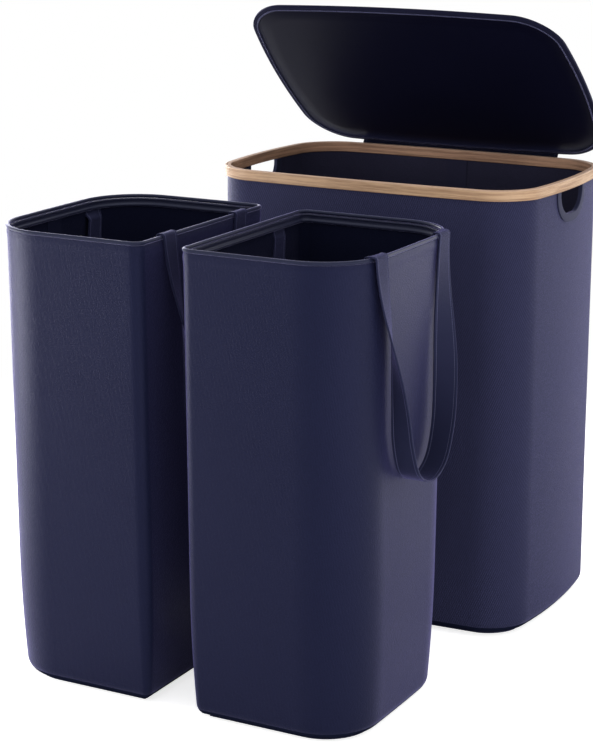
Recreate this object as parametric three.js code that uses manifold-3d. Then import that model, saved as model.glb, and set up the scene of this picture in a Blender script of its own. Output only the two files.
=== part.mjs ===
// Laundry hamper with a bent-wood rim, a cloth-hinged board lid and two lift-out bins with carry straps.
// Millimetres, +Z up. The origin is the middle of the hamper's underside and the front faces -Y.
import * as THREE from "three";
import { mergeVertices } from "three/addons/utils/BufferGeometryUtils.js";
import Module from "manifold-3d";

const wasm = await Module();
wasm.setup();

// Clearances and cuts
const seat = 0.3; // gap between pieces that touch
const overrun = 12; // how far a cutting body runs past what it cuts
const leastRadius = 1; // the smallest corner that an inset outline keeps

// Hamper outline at the rim
const rimWidth = 500;
const rimDepth = 341;
const rimHeight = 636;
const rimCorner = 58;
const rimEndBow = 15; // how far the short sides bulge
const rimSideBow = 8; // how far the long sides bulge

// Hamper wall and bottom
const wallThickness = 2.4;
const wallTaper = 2; // inward lean of the front and back, over the full height
const wallFillet = 20; // radius of the rounded lower edge
const wallFlange = 14; // width of the edge that is turned in under the tub
const baseThickness = 2.5;
const baseLap = 3; // how far the bottom panel reaches under the turned-in edge's start
const boardThickness = 4;
const tapeWidth = 32;
const tapeThickness = 0.9;

// Wood rim bands
const bandHeight = 15;
const bandOuterThickness = 2.6;
const bandInnerThickness = 2.1;
const bandEdge = 0.9; // softened long edges
const bandCap = 2; // wood above the sheet's top edge

// Hand holes in the short sides
const holeWidth = 80;
const holeDrop = 34; // from the bands' lower edge to the bottom of the hole
const holeRadius = 30;
const holeHidden = 2; // height of the hole that runs up behind the bands
const trimFlange = 12;
const trimThickness = 1.5;
const trimWeb = 1.6;

// Lid
const lidWidth = 498;
const lidDepth = 336;
const lidCorner = 56;
const lidOpen = 42; // degrees from closed, as photographed
const lidThickness = 5.2;
const lidSkin = 0.9; // thickness of cover and lining
const lidEdge = 1.4; // rounding of the upper edge
const lidUpperShare = 0.3; // share of the rounding at which the upper edge's middle line lies
const lidLowerShare = 0.4; // share of the rounding that the lower edge gets
const lidHem = 5.4; // width of the cover's turned-in hem
const pipingRadius = 1;
const pipingSink = 0.15; // how far the piping's centre lies below the lid's underside
const lidRest = 1.5; // underside of the closed lid above the rim

// Cloth hinge
const hingeBehind = 0.9; // hinge line behind the rim band
const hingeDrop = 1; // hinge line below the rim's top
const leafLength = 320;
const leafThickness = 1;
const leafOnWall = 26; // cloth on the sheet below the band
const leafOnLid = 20; // cloth on the top of the lid
const leafGap = 2; // bare stretch at the fold
const leafSlant = 3; // height over which the cloth under the band comes back to the sheet

// Bins
const binWidth = 240;
const binDepth = 321;
const binHeight = 613;
const binFlatCorner = 17;
const binOuterCorner = 81;
const binOuterBow = 2;
const binInset = 1.5; // sheet behind the rim bead's outer face
const binThickness = 2.2;
const binTaper = 14; // inward lean of the front and back, over the full height
const binCurve = 6.6; // further draw-in near the bottom
const binCurveFrom = 175;
const binFillet = 18;
const binFlange = 12;
const binBaseThickness = 2;
const binBoardThickness = 3;
const beadRadius = 2.6;
const hemDepth = 17; // bottom of the inner hem below the bin's top
const hemThickness = 1.4;
const hemBead = 3.4; // how far the hem's lower bead stands off the sheet
const hemCord = 0.7; // how far the thin upper cord stands off the hem
const hemCordHalf = 1.4; // half the cord's height

// Where the bins stand: the side that faces the other one, and the middle
const binARight = -82.5;
const binAMiddle = -444;
const binBLeft = -25;
const binBMiddle = -450;

// Carry straps
const strapWidth = 31;
const strapThickness = 2;
const strapDrop = 296;
const loopWidth = 180; // between the middles of the two legs at the rim
const strapStandOff = 2; // between the bin's side and the strap's near edge where it hangs edge-on
const strapLegSteps = 13;
const rootReach = 6; // how far the outer strap's root shows below the hem inside
const rootPatch = 9; // height of the inner strap's root patch
const turnGap = 1.7; // bare stretch between a root and its strap
// Half of a hanging loop as shares of [half spread, drop], from the leg to the lowest point
const loopShares = [[1, 0], [0.93, 0.16], [0.82, 0.4], [0.735, 0.64], [0.64, 0.82], [0.42, 0.95], [0, 1]];
const edgeShare = 0.95; // share of the drop over which the strap turns from lying flat to hanging edge-on
const tangentShare = 0.01; // share of the loop's length over which its direction is taken

// Steps of the faceted outlines
const cornerSteps = 5;
const sideSteps = 4;
const curveSteps = 3;
const filletSteps = 4;
const roundSteps = 8;
const holeSteps = 7;

const finish = (color, roughness) => new THREE.MeshStandardMaterial({ color, roughness, metalness: 0 });
const sheet = finish(0x2b2c42, 0.55);
const insideSheet = finish(0x14151f, 0.7);
const webbing = finish(0x30314a, 0.6);
const wood = finish(0xb58f66, 0.5);
const lining = finish(0x0b0b10, 0.85);
const trimPlastic = finish(0x1c1d2b, 0.45);
const board = finish(0x4a4a52, 0.9);

// Outlines: corners and bows run from the front left one anticlockwise
const hamperPlan = {
  width: rimWidth,
  depth: rimDepth,
  corners: [rimCorner, rimCorner, rimCorner, rimCorner],
  bows: { left: rimEndBow, right: rimEndBow, front: rimSideBow, back: rimSideBow },
};
const lidPlan = { ...hamperPlan, width: lidWidth, depth: lidDepth, corners: Array(4).fill(lidCorner) };
const binPlan = (flatSide) => ({
  width: binWidth,
  depth: binDepth,
  corners: flatSide > 0
    ? [binOuterCorner, binFlatCorner, binFlatCorner, binOuterCorner]
    : [binFlatCorner, binOuterCorner, binOuterCorner, binFlatCorner],
  bows: { left: flatSide > 0 ? binOuterBow : 0, right: flatSide > 0 ? 0 : binOuterBow, front: 0, back: 0 },
});

// Points of a rounded rectangle with bulging sides, drawn in by an inset, anticlockwise from the front left
function outline(plan, insetX, insetY = insetX) {
  const { left, right, front, back } = plan.bows;
  const halfX = (plan.width - left - right) / 2 - insetX;
  const halfY = (plan.depth - front - back) / 2 - insetY;
  const signs = [[-1, -1], [1, -1], [1, 1], [-1, 1]];
  const arcs = signs.map(([signX, signY], k) => {
    const radius = Math.min(Math.max(plan.corners[k] - Math.min(insetX, insetY), leastRadius), halfX, halfY);
    const centre = new THREE.Vector2(signX * (halfX - radius), signY * (halfY - radius));
    return Array.from({ length: cornerSteps + 1 }, (_, i) => {
      const angle = Math.PI * (1 + k / 2 + i / cornerSteps / 2);
      return new THREE.Vector2(Math.cos(angle), Math.sin(angle)).multiplyScalar(radius).add(centre);
    });
  });
  const points = arcs.flatMap((arc, k) => {
    const start = arc.at(-1);
    const end = arcs[(k + 1) % arcs.length][0];
    const side = Array.from({ length: sideSteps - 1 }, (_, i) => start.clone().lerp(end, (i + 1) / sideSteps));
    return [...arc, ...side];
  });
  return points.map(({ x, y }) => {
    const across = x / halfX;
    const along = y / halfY;
    return new THREE.Vector2(
      x + across * (across > 0 ? right : left) * (1 - along ** 2) + (left - right) / 2,
      y + along * (along > 0 ? back : front) * (1 - across ** 2) + (front - back) / 2,
    );
  });
}

// A closed body through loops of equally many points; a ring joins its last loop to its first, others are capped.
// A ribbon's two faces are split along parallel diagonals, so that it keeps its thickness where it twists.
function loft(loops, { isRing = false, isRibbon = false } = {}) {
  const count = loops[0].length;
  const index = [];
  const strips = isRing ? loops.length : loops.length - 1;
  for (let j = 0; j < strips; j++) {
    const low = j * count;
    const high = ((j + 1) % loops.length) * count;
    for (let i = 0; i < count; i++) {
      const next = (i + 1) % count;
      const isBack = isRibbon && i >= count / 2;
      index.push(low + i, low + next, isBack ? high + i : high + next);
      index.push(isBack ? low + next : low + i, high + next, high + i);
    }
  }
  if (!isRing) {
    const last = (loops.length - 1) * count;
    for (let i = 1; i < count - 1; i++) index.push(0, i + 1, i, last, last + i, last + i + 1);
  }
  const geometry = new THREE.BufferGeometry().setFromPoints(loops.flat());
  geometry.setIndex(index);
  return signedVolume(geometry) < 0 ? turnedOut(geometry) : geometry;
}

function signedVolume(geometry) {
  const place = geometry.getAttribute("position");
  const corner = (i) => new THREE.Vector3().fromBufferAttribute(place, geometry.index.getX(i));
  let sum = 0;
  for (let i = 0; i < geometry.index.count; i += 3) sum += corner(i).dot(corner(i + 1).cross(corner(i + 2)));
  return sum / 6;
}

function turnedOut(geometry) {
  const index = geometry.index.array;
  for (let i = 0; i < index.length; i += 3) [index[i + 1], index[i + 2]] = [index[i + 2], index[i + 1]];
  return geometry;
}

// A section of [inset, height] or [inset along X, inset along Y, height] points, carried round an outline
function loopAt(plan, point) {
  const height = point.at(-1);
  return outline(plan, point[0], point.length > 2 ? point[1] : point[0])
    .map(({ x, y }) => new THREE.Vector3(x, y, height));
}
const ring = (plan, section) => loft(section.map((point) => loopAt(plan, point)), { isRing: true });
const capped = (plan, section) => loft(section.map((point) => loopAt(plan, point)));
const plate = (plan, inset, low, high) => capped(plan, [[inset, low], [inset, high]]);

// Joins and cuts
function asSolid(geometry) {
  const bare = geometry.clone();
  bare.deleteAttribute("normal");
  bare.deleteAttribute("uv");
  const merged = mergeVertices(bare);
  return new wasm.Manifold(new wasm.Mesh({
    numProp: 3,
    vertProperties: merged.getAttribute("position").array,
    triVerts: new Uint32Array(merged.index.array),
  }));
}

function asGeometry(solid) {
  const { vertProperties, triVerts } = solid.getMesh();
  return new THREE.BufferGeometry()
    .setAttribute("position", new THREE.BufferAttribute(vertProperties, 3))
    .setIndex(new THREE.BufferAttribute(triVerts, 1));
}

const cut = (body, ...tools) =>
  asGeometry(tools.reduce((solid, tool) => solid.subtract(asSolid(tool)), asSolid(body)));
const common = (body, tool) => asGeometry(asSolid(body).intersect(asSolid(tool)));

// A block between two corners, which a piece is cut from
function block(low, high) {
  const size = high.clone().sub(low);
  return new THREE.BoxGeometry(size.x, size.y, size.z).translate(...low.clone().add(high).divideScalar(2));
}

function mesh(name, geometry, material) {
  const made = new THREE.Mesh(geometry, material);
  made.name = name;
  return made;
}

// Tub walls: one rule gives how far the sheet lies inside the rim outline at any height
const hamperTub = {
  plan: hamperPlan,
  top: rimHeight - bandCap - seat,
  inset: bandOuterThickness + seat,
  thickness: wallThickness,
  taper: wallTaper,
  curve: 0,
  curveFrom: wallFillet,
  fillet: wallFillet,
  floor: baseThickness + seat,
  flange: wallFlange,
};
const binTub = (flatSide) => ({
  plan: binPlan(flatSide),
  top: binHeight - beadRadius * 2 - seat,
  inset: binInset,
  thickness: binThickness,
  taper: binTaper,
  curve: binCurve,
  curveFrom: binCurveFrom,
  fillet: binFillet,
  floor: binBaseThickness + seat,
  flange: binFlange,
});

function sheetInset(tub, offset, height) {
  const low = Math.max(0, 1 - height / tub.curveFrom);
  const drawn = tub.inset + offset + tub.curve * low ** 2;
  return [drawn, drawn + tub.taper * (1 - height / tub.top)];
}

// Section points of a tub's face between two heights, with steps where it curves
function sheetCourse(tub, offset, high, low) {
  const steps = Array.from({ length: curveSteps + 1 }, (_, i) =>
    tub.curveFrom + (tub.floor + tub.fillet - tub.curveFrom) * (i / curveSteps));
  const heights = [high, ...steps.filter((height) => height < high - seat && height > low + seat), low];
  return heights.map((height) => [...sheetInset(tub, offset, height), height]);
}

// A face of the whole wall, from its top edge down and in to the turned-in edge
function wallFace(tub, offset) {
  const radius = tub.fillet - offset;
  const start = tub.floor + tub.fillet;
  const course = sheetCourse(tub, offset, tub.top, start);
  const [insetX, insetY] = sheetInset(tub, offset, start);
  for (let i = 1; i <= filletSteps; i++) {
    const angle = (Math.PI / 2) * (i / filletSteps);
    const drawn = radius * (1 - Math.cos(angle));
    course.push([insetX + drawn, insetY + drawn, start - radius * Math.sin(angle)]);
  }
  const [endX, endY, endHeight] = course.at(-1);
  course.push([endX + tub.flange, endY + tub.flange, endHeight]);
  return course;
}
const wallShell = (tub) => ring(tub.plan, [...wallFace(tub, 0), ...wallFace(tub, tub.thickness).reverse()]);

// A skin that follows the sheet between two offsets and two heights
const skin = (tub, near, far, high, low) =>
  ring(tub.plan, [...sheetCourse(tub, near, high, low), ...sheetCourse(tub, far, high, low).reverse()]);

// Bottom panel under the turned-in edge, and the loose board on top of it
function tubBottom(tub, panelThickness, looseThickness) {
  const [endX, endY] = wallFace(tub, 0).at(-2);
  const onFloor = tub.floor + tub.thickness + seat;
  return {
    panel: capped(tub.plan, [[endX - baseLap, endY - baseLap, 0], [endX - baseLap, endY - baseLap, panelThickness]]),
    loose: capped(tub.plan, [[endX, endY, onFloor], [endX, endY, onFloor + looseThickness]]),
  };
}

// The tape that closes the wrapped sheet: a strip inside one side, cut from a skin by a block
function seamTape(tub, cutter, top, bottom) {
  const near = tub.thickness + seat;
  return common(skin(tub, near, near + tapeThickness, top, bottom), cutter);
}

const bandBottom = rimHeight - bandHeight;
const hamperBottom = tubBottom(hamperTub, baseThickness, boardThickness);
const bandTotal = bandOuterThickness + wallThickness + bandInnerThickness + seat * 2;

// Hand holes: a U drawn across the short side
function holeShape(grow, top) {
  const half = holeWidth / 2 + grow;
  const radius = Math.min(holeRadius + grow, half);
  const bottom = bandBottom - holeDrop - grow;
  const shape = new THREE.Shape().moveTo(-half, top).lineTo(-half, bottom + radius);
  shape.absarc(-half + radius, bottom + radius, radius, Math.PI, Math.PI * 1.5);
  shape.absarc(half - radius, bottom + radius, radius, Math.PI * 1.5, Math.PI * 2);
  shape.lineTo(half, top);
  return shape;
}

function holePrism(grow, top, side) {
  const depth = rimEndBow + overrun * 2;
  const geometry = new THREE.ExtrudeGeometry(holeShape(grow, top), {
    depth,
    bevelEnabled: false,
    curveSegments: holeSteps,
  });
  const basis = new THREE.Matrix4().makeBasis(
    new THREE.Vector3(0, 1, 0), new THREE.Vector3(0, 0, 1), new THREE.Vector3(1, 0, 0));
  const start = side > 0 ? rimWidth / 2 + overrun - depth : -rimWidth / 2 - overrun;
  return geometry.applyMatrix4(basis).translate(start, 0, 0);
}

function handholeTrim(side) {
  const top = bandBottom - seat;
  const low = bandBottom - holeDrop - trimFlange - overrun;
  const around = skin(hamperTub, -trimThickness - seat, wallThickness + trimThickness + seat, top, low);
  const flanges = common(around, holePrism(trimFlange, top + overrun, side));
  const opened = cut(flanges, holePrism(0, top + overrun, side));
  const sheetSlot = skin(hamperTub, -seat, wallThickness + seat, top + overrun, low - overrun);
  const besideWeb = cut(sheetSlot, holePrism(trimWeb, top + overrun * 2, side));
  return cut(opened, besideWeb);
}

function hamperBody() {
  const group = new THREE.Group();
  const holeTop = bandBottom + holeHidden;
  const wall = cut(wallShell(hamperTub), ...[-1, 1].map((side) => holePrism(trimWeb + seat, holeTop, side)));
  const tapeTop = bandBottom - seat;
  const tapeBottom = hamperTub.floor + wallFillet;
  const tapeBlock = block(
    new THREE.Vector3(-tapeWidth / 2, 0, 0), new THREE.Vector3(tapeWidth / 2, rimDepth / 2, rimHeight));
  const outerBand = ring(hamperPlan, [
    [bandEdge, rimHeight], [0, rimHeight - bandEdge], [0, bandBottom + bandEdge], [bandEdge, bandBottom],
    [bandOuterThickness, bandBottom], [bandOuterThickness, rimHeight],
  ]);
  const sheetInner = hamperTub.inset + wallThickness + seat;
  const innerBand = ring(hamperPlan, [
    [bandTotal - bandEdge, rimHeight], [bandTotal, rimHeight - bandEdge], [bandTotal, bandBottom + bandEdge],
    [bandTotal - bandEdge, bandBottom], [sheetInner, bandBottom], [sheetInner, rimHeight - bandCap],
    [bandOuterThickness + seat, rimHeight - bandCap], [bandOuterThickness + seat, rimHeight],
  ]);
  const leafTop = rimHeight - hingeDrop - leafGap / 2;
  const leafSheet = hamperTub.inset - seat - leafThickness;
  const leafFoot = bandBottom - leafOnWall;
  const leafRing = ring(hamperPlan, [
    [-seat, leafTop], [-seat - leafThickness, leafTop], [-seat - leafThickness, bandBottom - leafThickness],
    [leafSheet, bandBottom - leafSlant], [leafSheet, leafFoot],
    [leafSheet + leafThickness, leafFoot], [leafSheet + leafThickness, bandBottom - seat - leafThickness],
    [-seat, bandBottom - seat],
  ]);
  const leafBlock = block(
    new THREE.Vector3(-leafLength / 2, 0, 0), new THREE.Vector3(leafLength / 2, rimDepth, rimHeight + overrun));
  group.add(
    mesh("hamper_wall", wall, sheet),
    mesh("wall_seam_tape", seamTape(hamperTub, tapeBlock, tapeTop, tapeBottom), insideSheet),
    mesh("hamper_base", hamperBottom.panel, sheet),
    mesh("hamper_base_board", hamperBottom.loose, board),
    mesh("rim_band_outer", outerBand, wood),
    mesh("rim_band_inner", innerBand, wood),
    mesh("handhole_trim_left", handholeTrim(-1), trimPlastic),
    mesh("handhole_trim_right", handholeTrim(1), trimPlastic),
    mesh("hinge_leaf_body", common(leafRing, leafBlock), insideSheet),
  );
  return group;
}

// The lid is drawn closed, with its underside at height zero, in a group that turns about the hinge line
function lidBody() {
  const hinge = new THREE.Vector3(0, rimDepth / 2 + hingeBehind, rimHeight - hingeDrop);
  const closed = new THREE.Vector3(0, rimDepth / 2 - lidDepth / 2, rimHeight + lidRest);
  const inner = lidThickness - lidSkin;
  const softened = lidEdge * lidUpperShare;
  const lowerEdge = lidEdge * lidLowerShare;
  const cover = capped(lidPlan, [
    [lidEdge, lidThickness], [softened, lidThickness - softened], [0, lidThickness - lidEdge],
    [0, lowerEdge], [lowerEdge, 0], [lidHem, 0], [lidHem, lidSkin], [lidSkin, lidSkin],
    [lidSkin, inner],
  ]);
  const stiffener = plate(lidPlan, lidSkin + seat, lidSkin + seat, inner - seat);
  const pipingInset = lidHem + seat + pipingRadius;
  const piping = ring(lidPlan, Array.from({ length: roundSteps }, (_, i) => {
    const angle = (Math.PI * 2 * i) / roundSteps;
    return [pipingInset + pipingRadius * Math.cos(angle), -pipingSink + pipingRadius * Math.sin(angle)];
  }));
  const underside = plate(lidPlan, pipingInset + pipingRadius + seat, 0, lidSkin);
  const outside = -seat - leafThickness;
  const leafFoot = leafGap / 2 - hingeDrop - lidRest;
  const leafRing = ring(lidPlan, [
    [-seat, leafFoot], [outside, leafFoot], [outside, lidThickness + seat + leafThickness],
    [leafOnLid, lidThickness + seat + leafThickness], [leafOnLid, lidThickness + seat],
    [-seat, lidThickness + seat],
  ]);
  const leafBlock = block(
    new THREE.Vector3(-leafLength / 2, 0, -overrun), new THREE.Vector3(leafLength / 2, lidDepth, overrun));
  const pieces = new THREE.Group();
  pieces.position.copy(closed).sub(hinge);
  pieces.add(
    mesh("lid_board", stiffener, board),
    mesh("lid_cover", cover, sheet),
    mesh("lid_lining", underside, lining),
    mesh("lid_piping", piping, webbing),
    mesh("hinge_leaf_lid", common(leafRing, leafBlock), insideSheet),
  );
  const group = new THREE.Group();
  group.add(pieces);
  group.position.copy(hinge);
  group.rotation.x = -THREE.MathUtils.degToRad(lidOpen);
  return group;
}

// How far to the right or left a bin's outline reaches, drawn in by an inset, at a distance along its side
function sideReach(plan, inset, side, along) {
  const near = outline(plan, inset).filter(({ x }) => x * side > 0);
  const [before, after] = [near.filter(({ y }) => y <= along), near.filter(({ y }) => y >= along)];
  const low = before.reduce((a, b) => (b.y > a.y ? b : a));
  const high = after.reduce((a, b) => (b.y < a.y ? b : a));
  const share = high.y === low.y ? 0 : (along - low.y) / (high.y - low.y);
  return low.x + (high.x - low.x) * share;
}

// A hanging loop of flat webbing: flat against the side at its ends, edge-on lower down.
// The turning line runs along Y through the origin, and the loop hangs below it on the +X side.
function strapLoop(clearSide) {
  const half = loopWidth / 2;
  const leg = loopShares.map(([across, down]) => new THREE.Vector3(0, half * across, -strapDrop * down));
  const mirrored = leg.slice(0, -1).map(({ y, z }) => new THREE.Vector3(0, -y, z));
  const course = new THREE.CatmullRomCurve3([...mirrored, ...leg.reverse()], false, "centripetal");
  const outFull = clearSide + strapStandOff + strapWidth / 2;
  const steps = strapLegSteps * 2;
  const ramp = (value) => THREE.MathUtils.smoothstep(value, 0, edgeShare);
  const centreAt = (u) => {
    const point = course.getPointAt(u);
    const down = -point.z / strapDrop;
    const out = outFull * Math.sin((Math.PI / 2) * ramp(down));
    return point.setX(out).setZ(-turnGap - (strapDrop - turnGap) * down);
  };
  const loops = Array.from({ length: steps + 1 }, (_, i) => {
    const u = i / steps;
    const centre = centreAt(u);
    const down = -(centre.z + turnGap) / (strapDrop - turnGap);
    const tangent = centreAt(Math.min(u + tangentShare, 1)).sub(centreAt(Math.max(u - tangentShare, 0))).normalize();
    const sideways = new THREE.Vector3(1, 0, 0);
    const inward = new THREE.Vector3().crossVectors(sideways, tangent).normalize();
    const turn = (Math.PI / 2) * ramp(down);
    const face = sideways.multiplyScalar(Math.cos(turn)).addScaledVector(inward, Math.sin(turn));
    face.addScaledVector(tangent, -face.dot(tangent)).normalize();
    const across = new THREE.Vector3().crossVectors(tangent, face);
    return [[1, 1], [-1, 1], [-1, -1], [1, -1]].map(([alongWidth, alongFace]) =>
      centre.clone()
        .addScaledVector(across, (alongWidth * strapWidth) / 2)
        .addScaledVector(face, (alongFace * strapThickness) / 2));
  });
  return loft(loops, { isRibbon: true });
}

// Root patches at both legs of a strap: pieces of a ring round the rim, cut out by blocks on the +X side
function strapRoots(plan, section, side) {
  const whole = ring(plan, section);
  return [-1, 1].map((end) => {
    const middle = (end * loopWidth) / 2;
    const xs = side > 0 ? [0, binWidth] : [-binWidth, 0];
    return common(whole, block(
      new THREE.Vector3(xs[0], middle - strapWidth / 2, 0),
      new THREE.Vector3(xs[1], middle + strapWidth / 2, binHeight + overrun)));
  });
}

// A bin with its flat side to the right (1) or to the left (-1)
function binBody(name, flatSide) {
  const tub = binTub(flatSide);
  const { plan } = tub;
  const bottom = tubBottom(tub, binBaseThickness, binBoardThickness);
  const top = binHeight;
  const bead = ring(plan, Array.from({ length: roundSteps }, (_, i) => {
    const angle = (Math.PI * 2 * (i + 0.5)) / roundSteps;
    return [beadRadius + beadRadius * Math.cos(angle), top - beadRadius + beadRadius * Math.sin(angle)];
  }));
  const sheetInner = binInset + binThickness + seat;
  const hemTop = top - beadRadius * 2 - seat;
  const hemLow = top - hemDepth;
  const hemFace = sheetInner + hemThickness;
  const hemCrest = sheetInner + hemBead;
  const hem = ring(plan, [
    [sheetInner, hemTop], [hemFace, hemTop], [hemFace + hemCord, hemTop - hemCordHalf],
    [hemFace, hemTop - hemCordHalf * 2], [hemFace, hemLow + hemBead + hemThickness],
    [hemCrest, hemLow + hemBead], [hemCrest, hemLow + hemThickness], [hemFace, hemLow],
    [sheetInner, hemLow],
  ]);
  const tapeSide = -flatSide;
  const tapeBlock = block(
    new THREE.Vector3(tapeSide > 0 ? 0 : -binWidth, -tapeWidth / 2, 0),
    new THREE.Vector3(tapeSide > 0 ? binWidth : 0, tapeWidth / 2, top));
  const tape = seamTape(tub, tapeBlock, hemLow - seat, tub.floor + binFillet);

  // The outer strap turns about a line outside the rim bead, the inner one about a line under the hem
  const legInside = (loopWidth - strapWidth) / 2;
  const legOutside = (loopWidth + strapWidth) / 2;
  const rootInner = hemCrest + seat;
  const outerRoots = strapRoots(plan, [
    [rootInner, hemLow - rootReach], [rootInner + strapThickness, hemLow - rootReach],
    [rootInner + strapThickness, top + seat + strapThickness], [strapThickness, top + seat + strapThickness],
    [strapThickness, top + seat], [rootInner, top + seat],
  ], 1);
  const outerTurn = new THREE.Vector3(
    sideReach(plan, 0, 1, legInside) + seat + strapThickness / 2, 0, top + seat + strapThickness / 2);
  const outerClear = plan.width / 2 - outerTurn.x;
  const patchTop = hemLow - seat;
  const patchLow = patchTop - rootPatch;
  const [patchInset] = sheetInset(tub, binThickness + seat, patchLow);
  const innerRoots = strapRoots(plan, [
    [patchInset, patchTop], [patchInset + strapThickness, patchTop],
    [patchInset + strapThickness, patchLow], [patchInset, patchLow],
  ], -1);
  const innerSide = sideReach(plan, patchInset, -1, legOutside);
  const innerTurn = new THREE.Vector3(innerSide + strapThickness / 2, 0, patchLow - turnGap);
  const outerStrap = mesh(`${name}_outer_strap`, strapLoop(outerClear), webbing);
  outerStrap.position.copy(outerTurn);
  const innerStrap = mesh(`${name}_inner_strap`, strapLoop(0), webbing);
  innerStrap.position.copy(innerTurn);

  const group = new THREE.Group();
  group.add(
    mesh(`${name}_wall`, wallShell(tub), sheet),
    mesh(`${name}_base`, bottom.panel, sheet),
    mesh(`${name}_base_board`, bottom.loose, board),
    mesh(`${name}_seam_tape`, tape, insideSheet),
    mesh(`${name}_rim_bead`, bead, sheet),
    mesh(`${name}_inner_hem`, hem, insideSheet),
    mesh(`${name}_outer_root_front`, outerRoots[0], webbing),
    mesh(`${name}_outer_root_back`, outerRoots[1], webbing),
    mesh(`${name}_inner_root_front`, innerRoots[0], webbing),
    mesh(`${name}_inner_root_back`, innerRoots[1], webbing),
    outerStrap,
    innerStrap,
  );
  return group;
}

const hamper = new THREE.Group();
const binA = binBody("bin_a", 1);
binA.position.set(binARight - binWidth / 2, binAMiddle, 0);
const binB = binBody("bin_b", -1);
binB.position.set(binBLeft + binWidth / 2, binBMiddle, 0);
hamper.add(hamperBody(), lidBody(), binA, binB);

export default hamper;
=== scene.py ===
"""Looks of a laundry hamper with a hinged lid and two lift-out bins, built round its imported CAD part.

Metres, +Z up. The origin is the middle of the hamper's underside and the front faces -Y.
"""

import logging
import math
from collections.abc import Callable, Sequence
from dataclasses import dataclass, field, replace
from enum import Enum
from typing import Any, ClassVar

import bpy
import numpy as np
from mathutils import Matrix, Vector


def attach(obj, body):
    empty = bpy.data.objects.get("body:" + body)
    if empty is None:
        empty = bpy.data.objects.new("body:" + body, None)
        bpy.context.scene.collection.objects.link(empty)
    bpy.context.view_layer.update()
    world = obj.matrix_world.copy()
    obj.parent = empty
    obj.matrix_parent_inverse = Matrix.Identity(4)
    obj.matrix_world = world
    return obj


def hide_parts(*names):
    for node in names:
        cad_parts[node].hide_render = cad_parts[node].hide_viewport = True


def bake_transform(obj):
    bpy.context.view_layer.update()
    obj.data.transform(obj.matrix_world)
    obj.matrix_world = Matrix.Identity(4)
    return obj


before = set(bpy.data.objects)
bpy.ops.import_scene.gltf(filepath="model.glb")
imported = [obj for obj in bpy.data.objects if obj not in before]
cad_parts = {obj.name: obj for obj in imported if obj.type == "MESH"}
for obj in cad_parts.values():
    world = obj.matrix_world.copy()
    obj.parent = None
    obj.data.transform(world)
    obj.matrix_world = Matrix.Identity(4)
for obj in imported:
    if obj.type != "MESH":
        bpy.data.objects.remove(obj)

log = logging.getLogger("hamper")

Socket = bpy.types.NodeSocket
Color = tuple[float, float, float]
Pair = tuple[float, float]
Point = tuple[float, float, float]
Swell = Callable[[np.ndarray], np.ndarray]


class Body(Enum):
    """Bodies of the part that pieces ride on."""

    HAMPER = "hamper"
    LID = "lid"
    BIN_A = "bin_a"
    BIN_A_OUTER_LOOP = "bin_a_outer_loop"
    BIN_A_INNER_LOOP = "bin_a_inner_loop"
    BIN_B = "bin_b"
    BIN_B_OUTER_LOOP = "bin_b_outer_loop"
    BIN_B_INNER_LOOP = "bin_b_inner_loop"


class Slot(Enum):
    """Material slots of the part's record."""

    SHEET = "sheet"
    INNER_SHEET = "inner_sheet"
    WEBBING = "webbing"
    WOOD = "wood"
    LINING = "lining"
    TRIM = "trim"


class Side(Enum):
    """Left or right along X."""

    LEFT = -1
    RIGHT = 1


# Node trees


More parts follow.
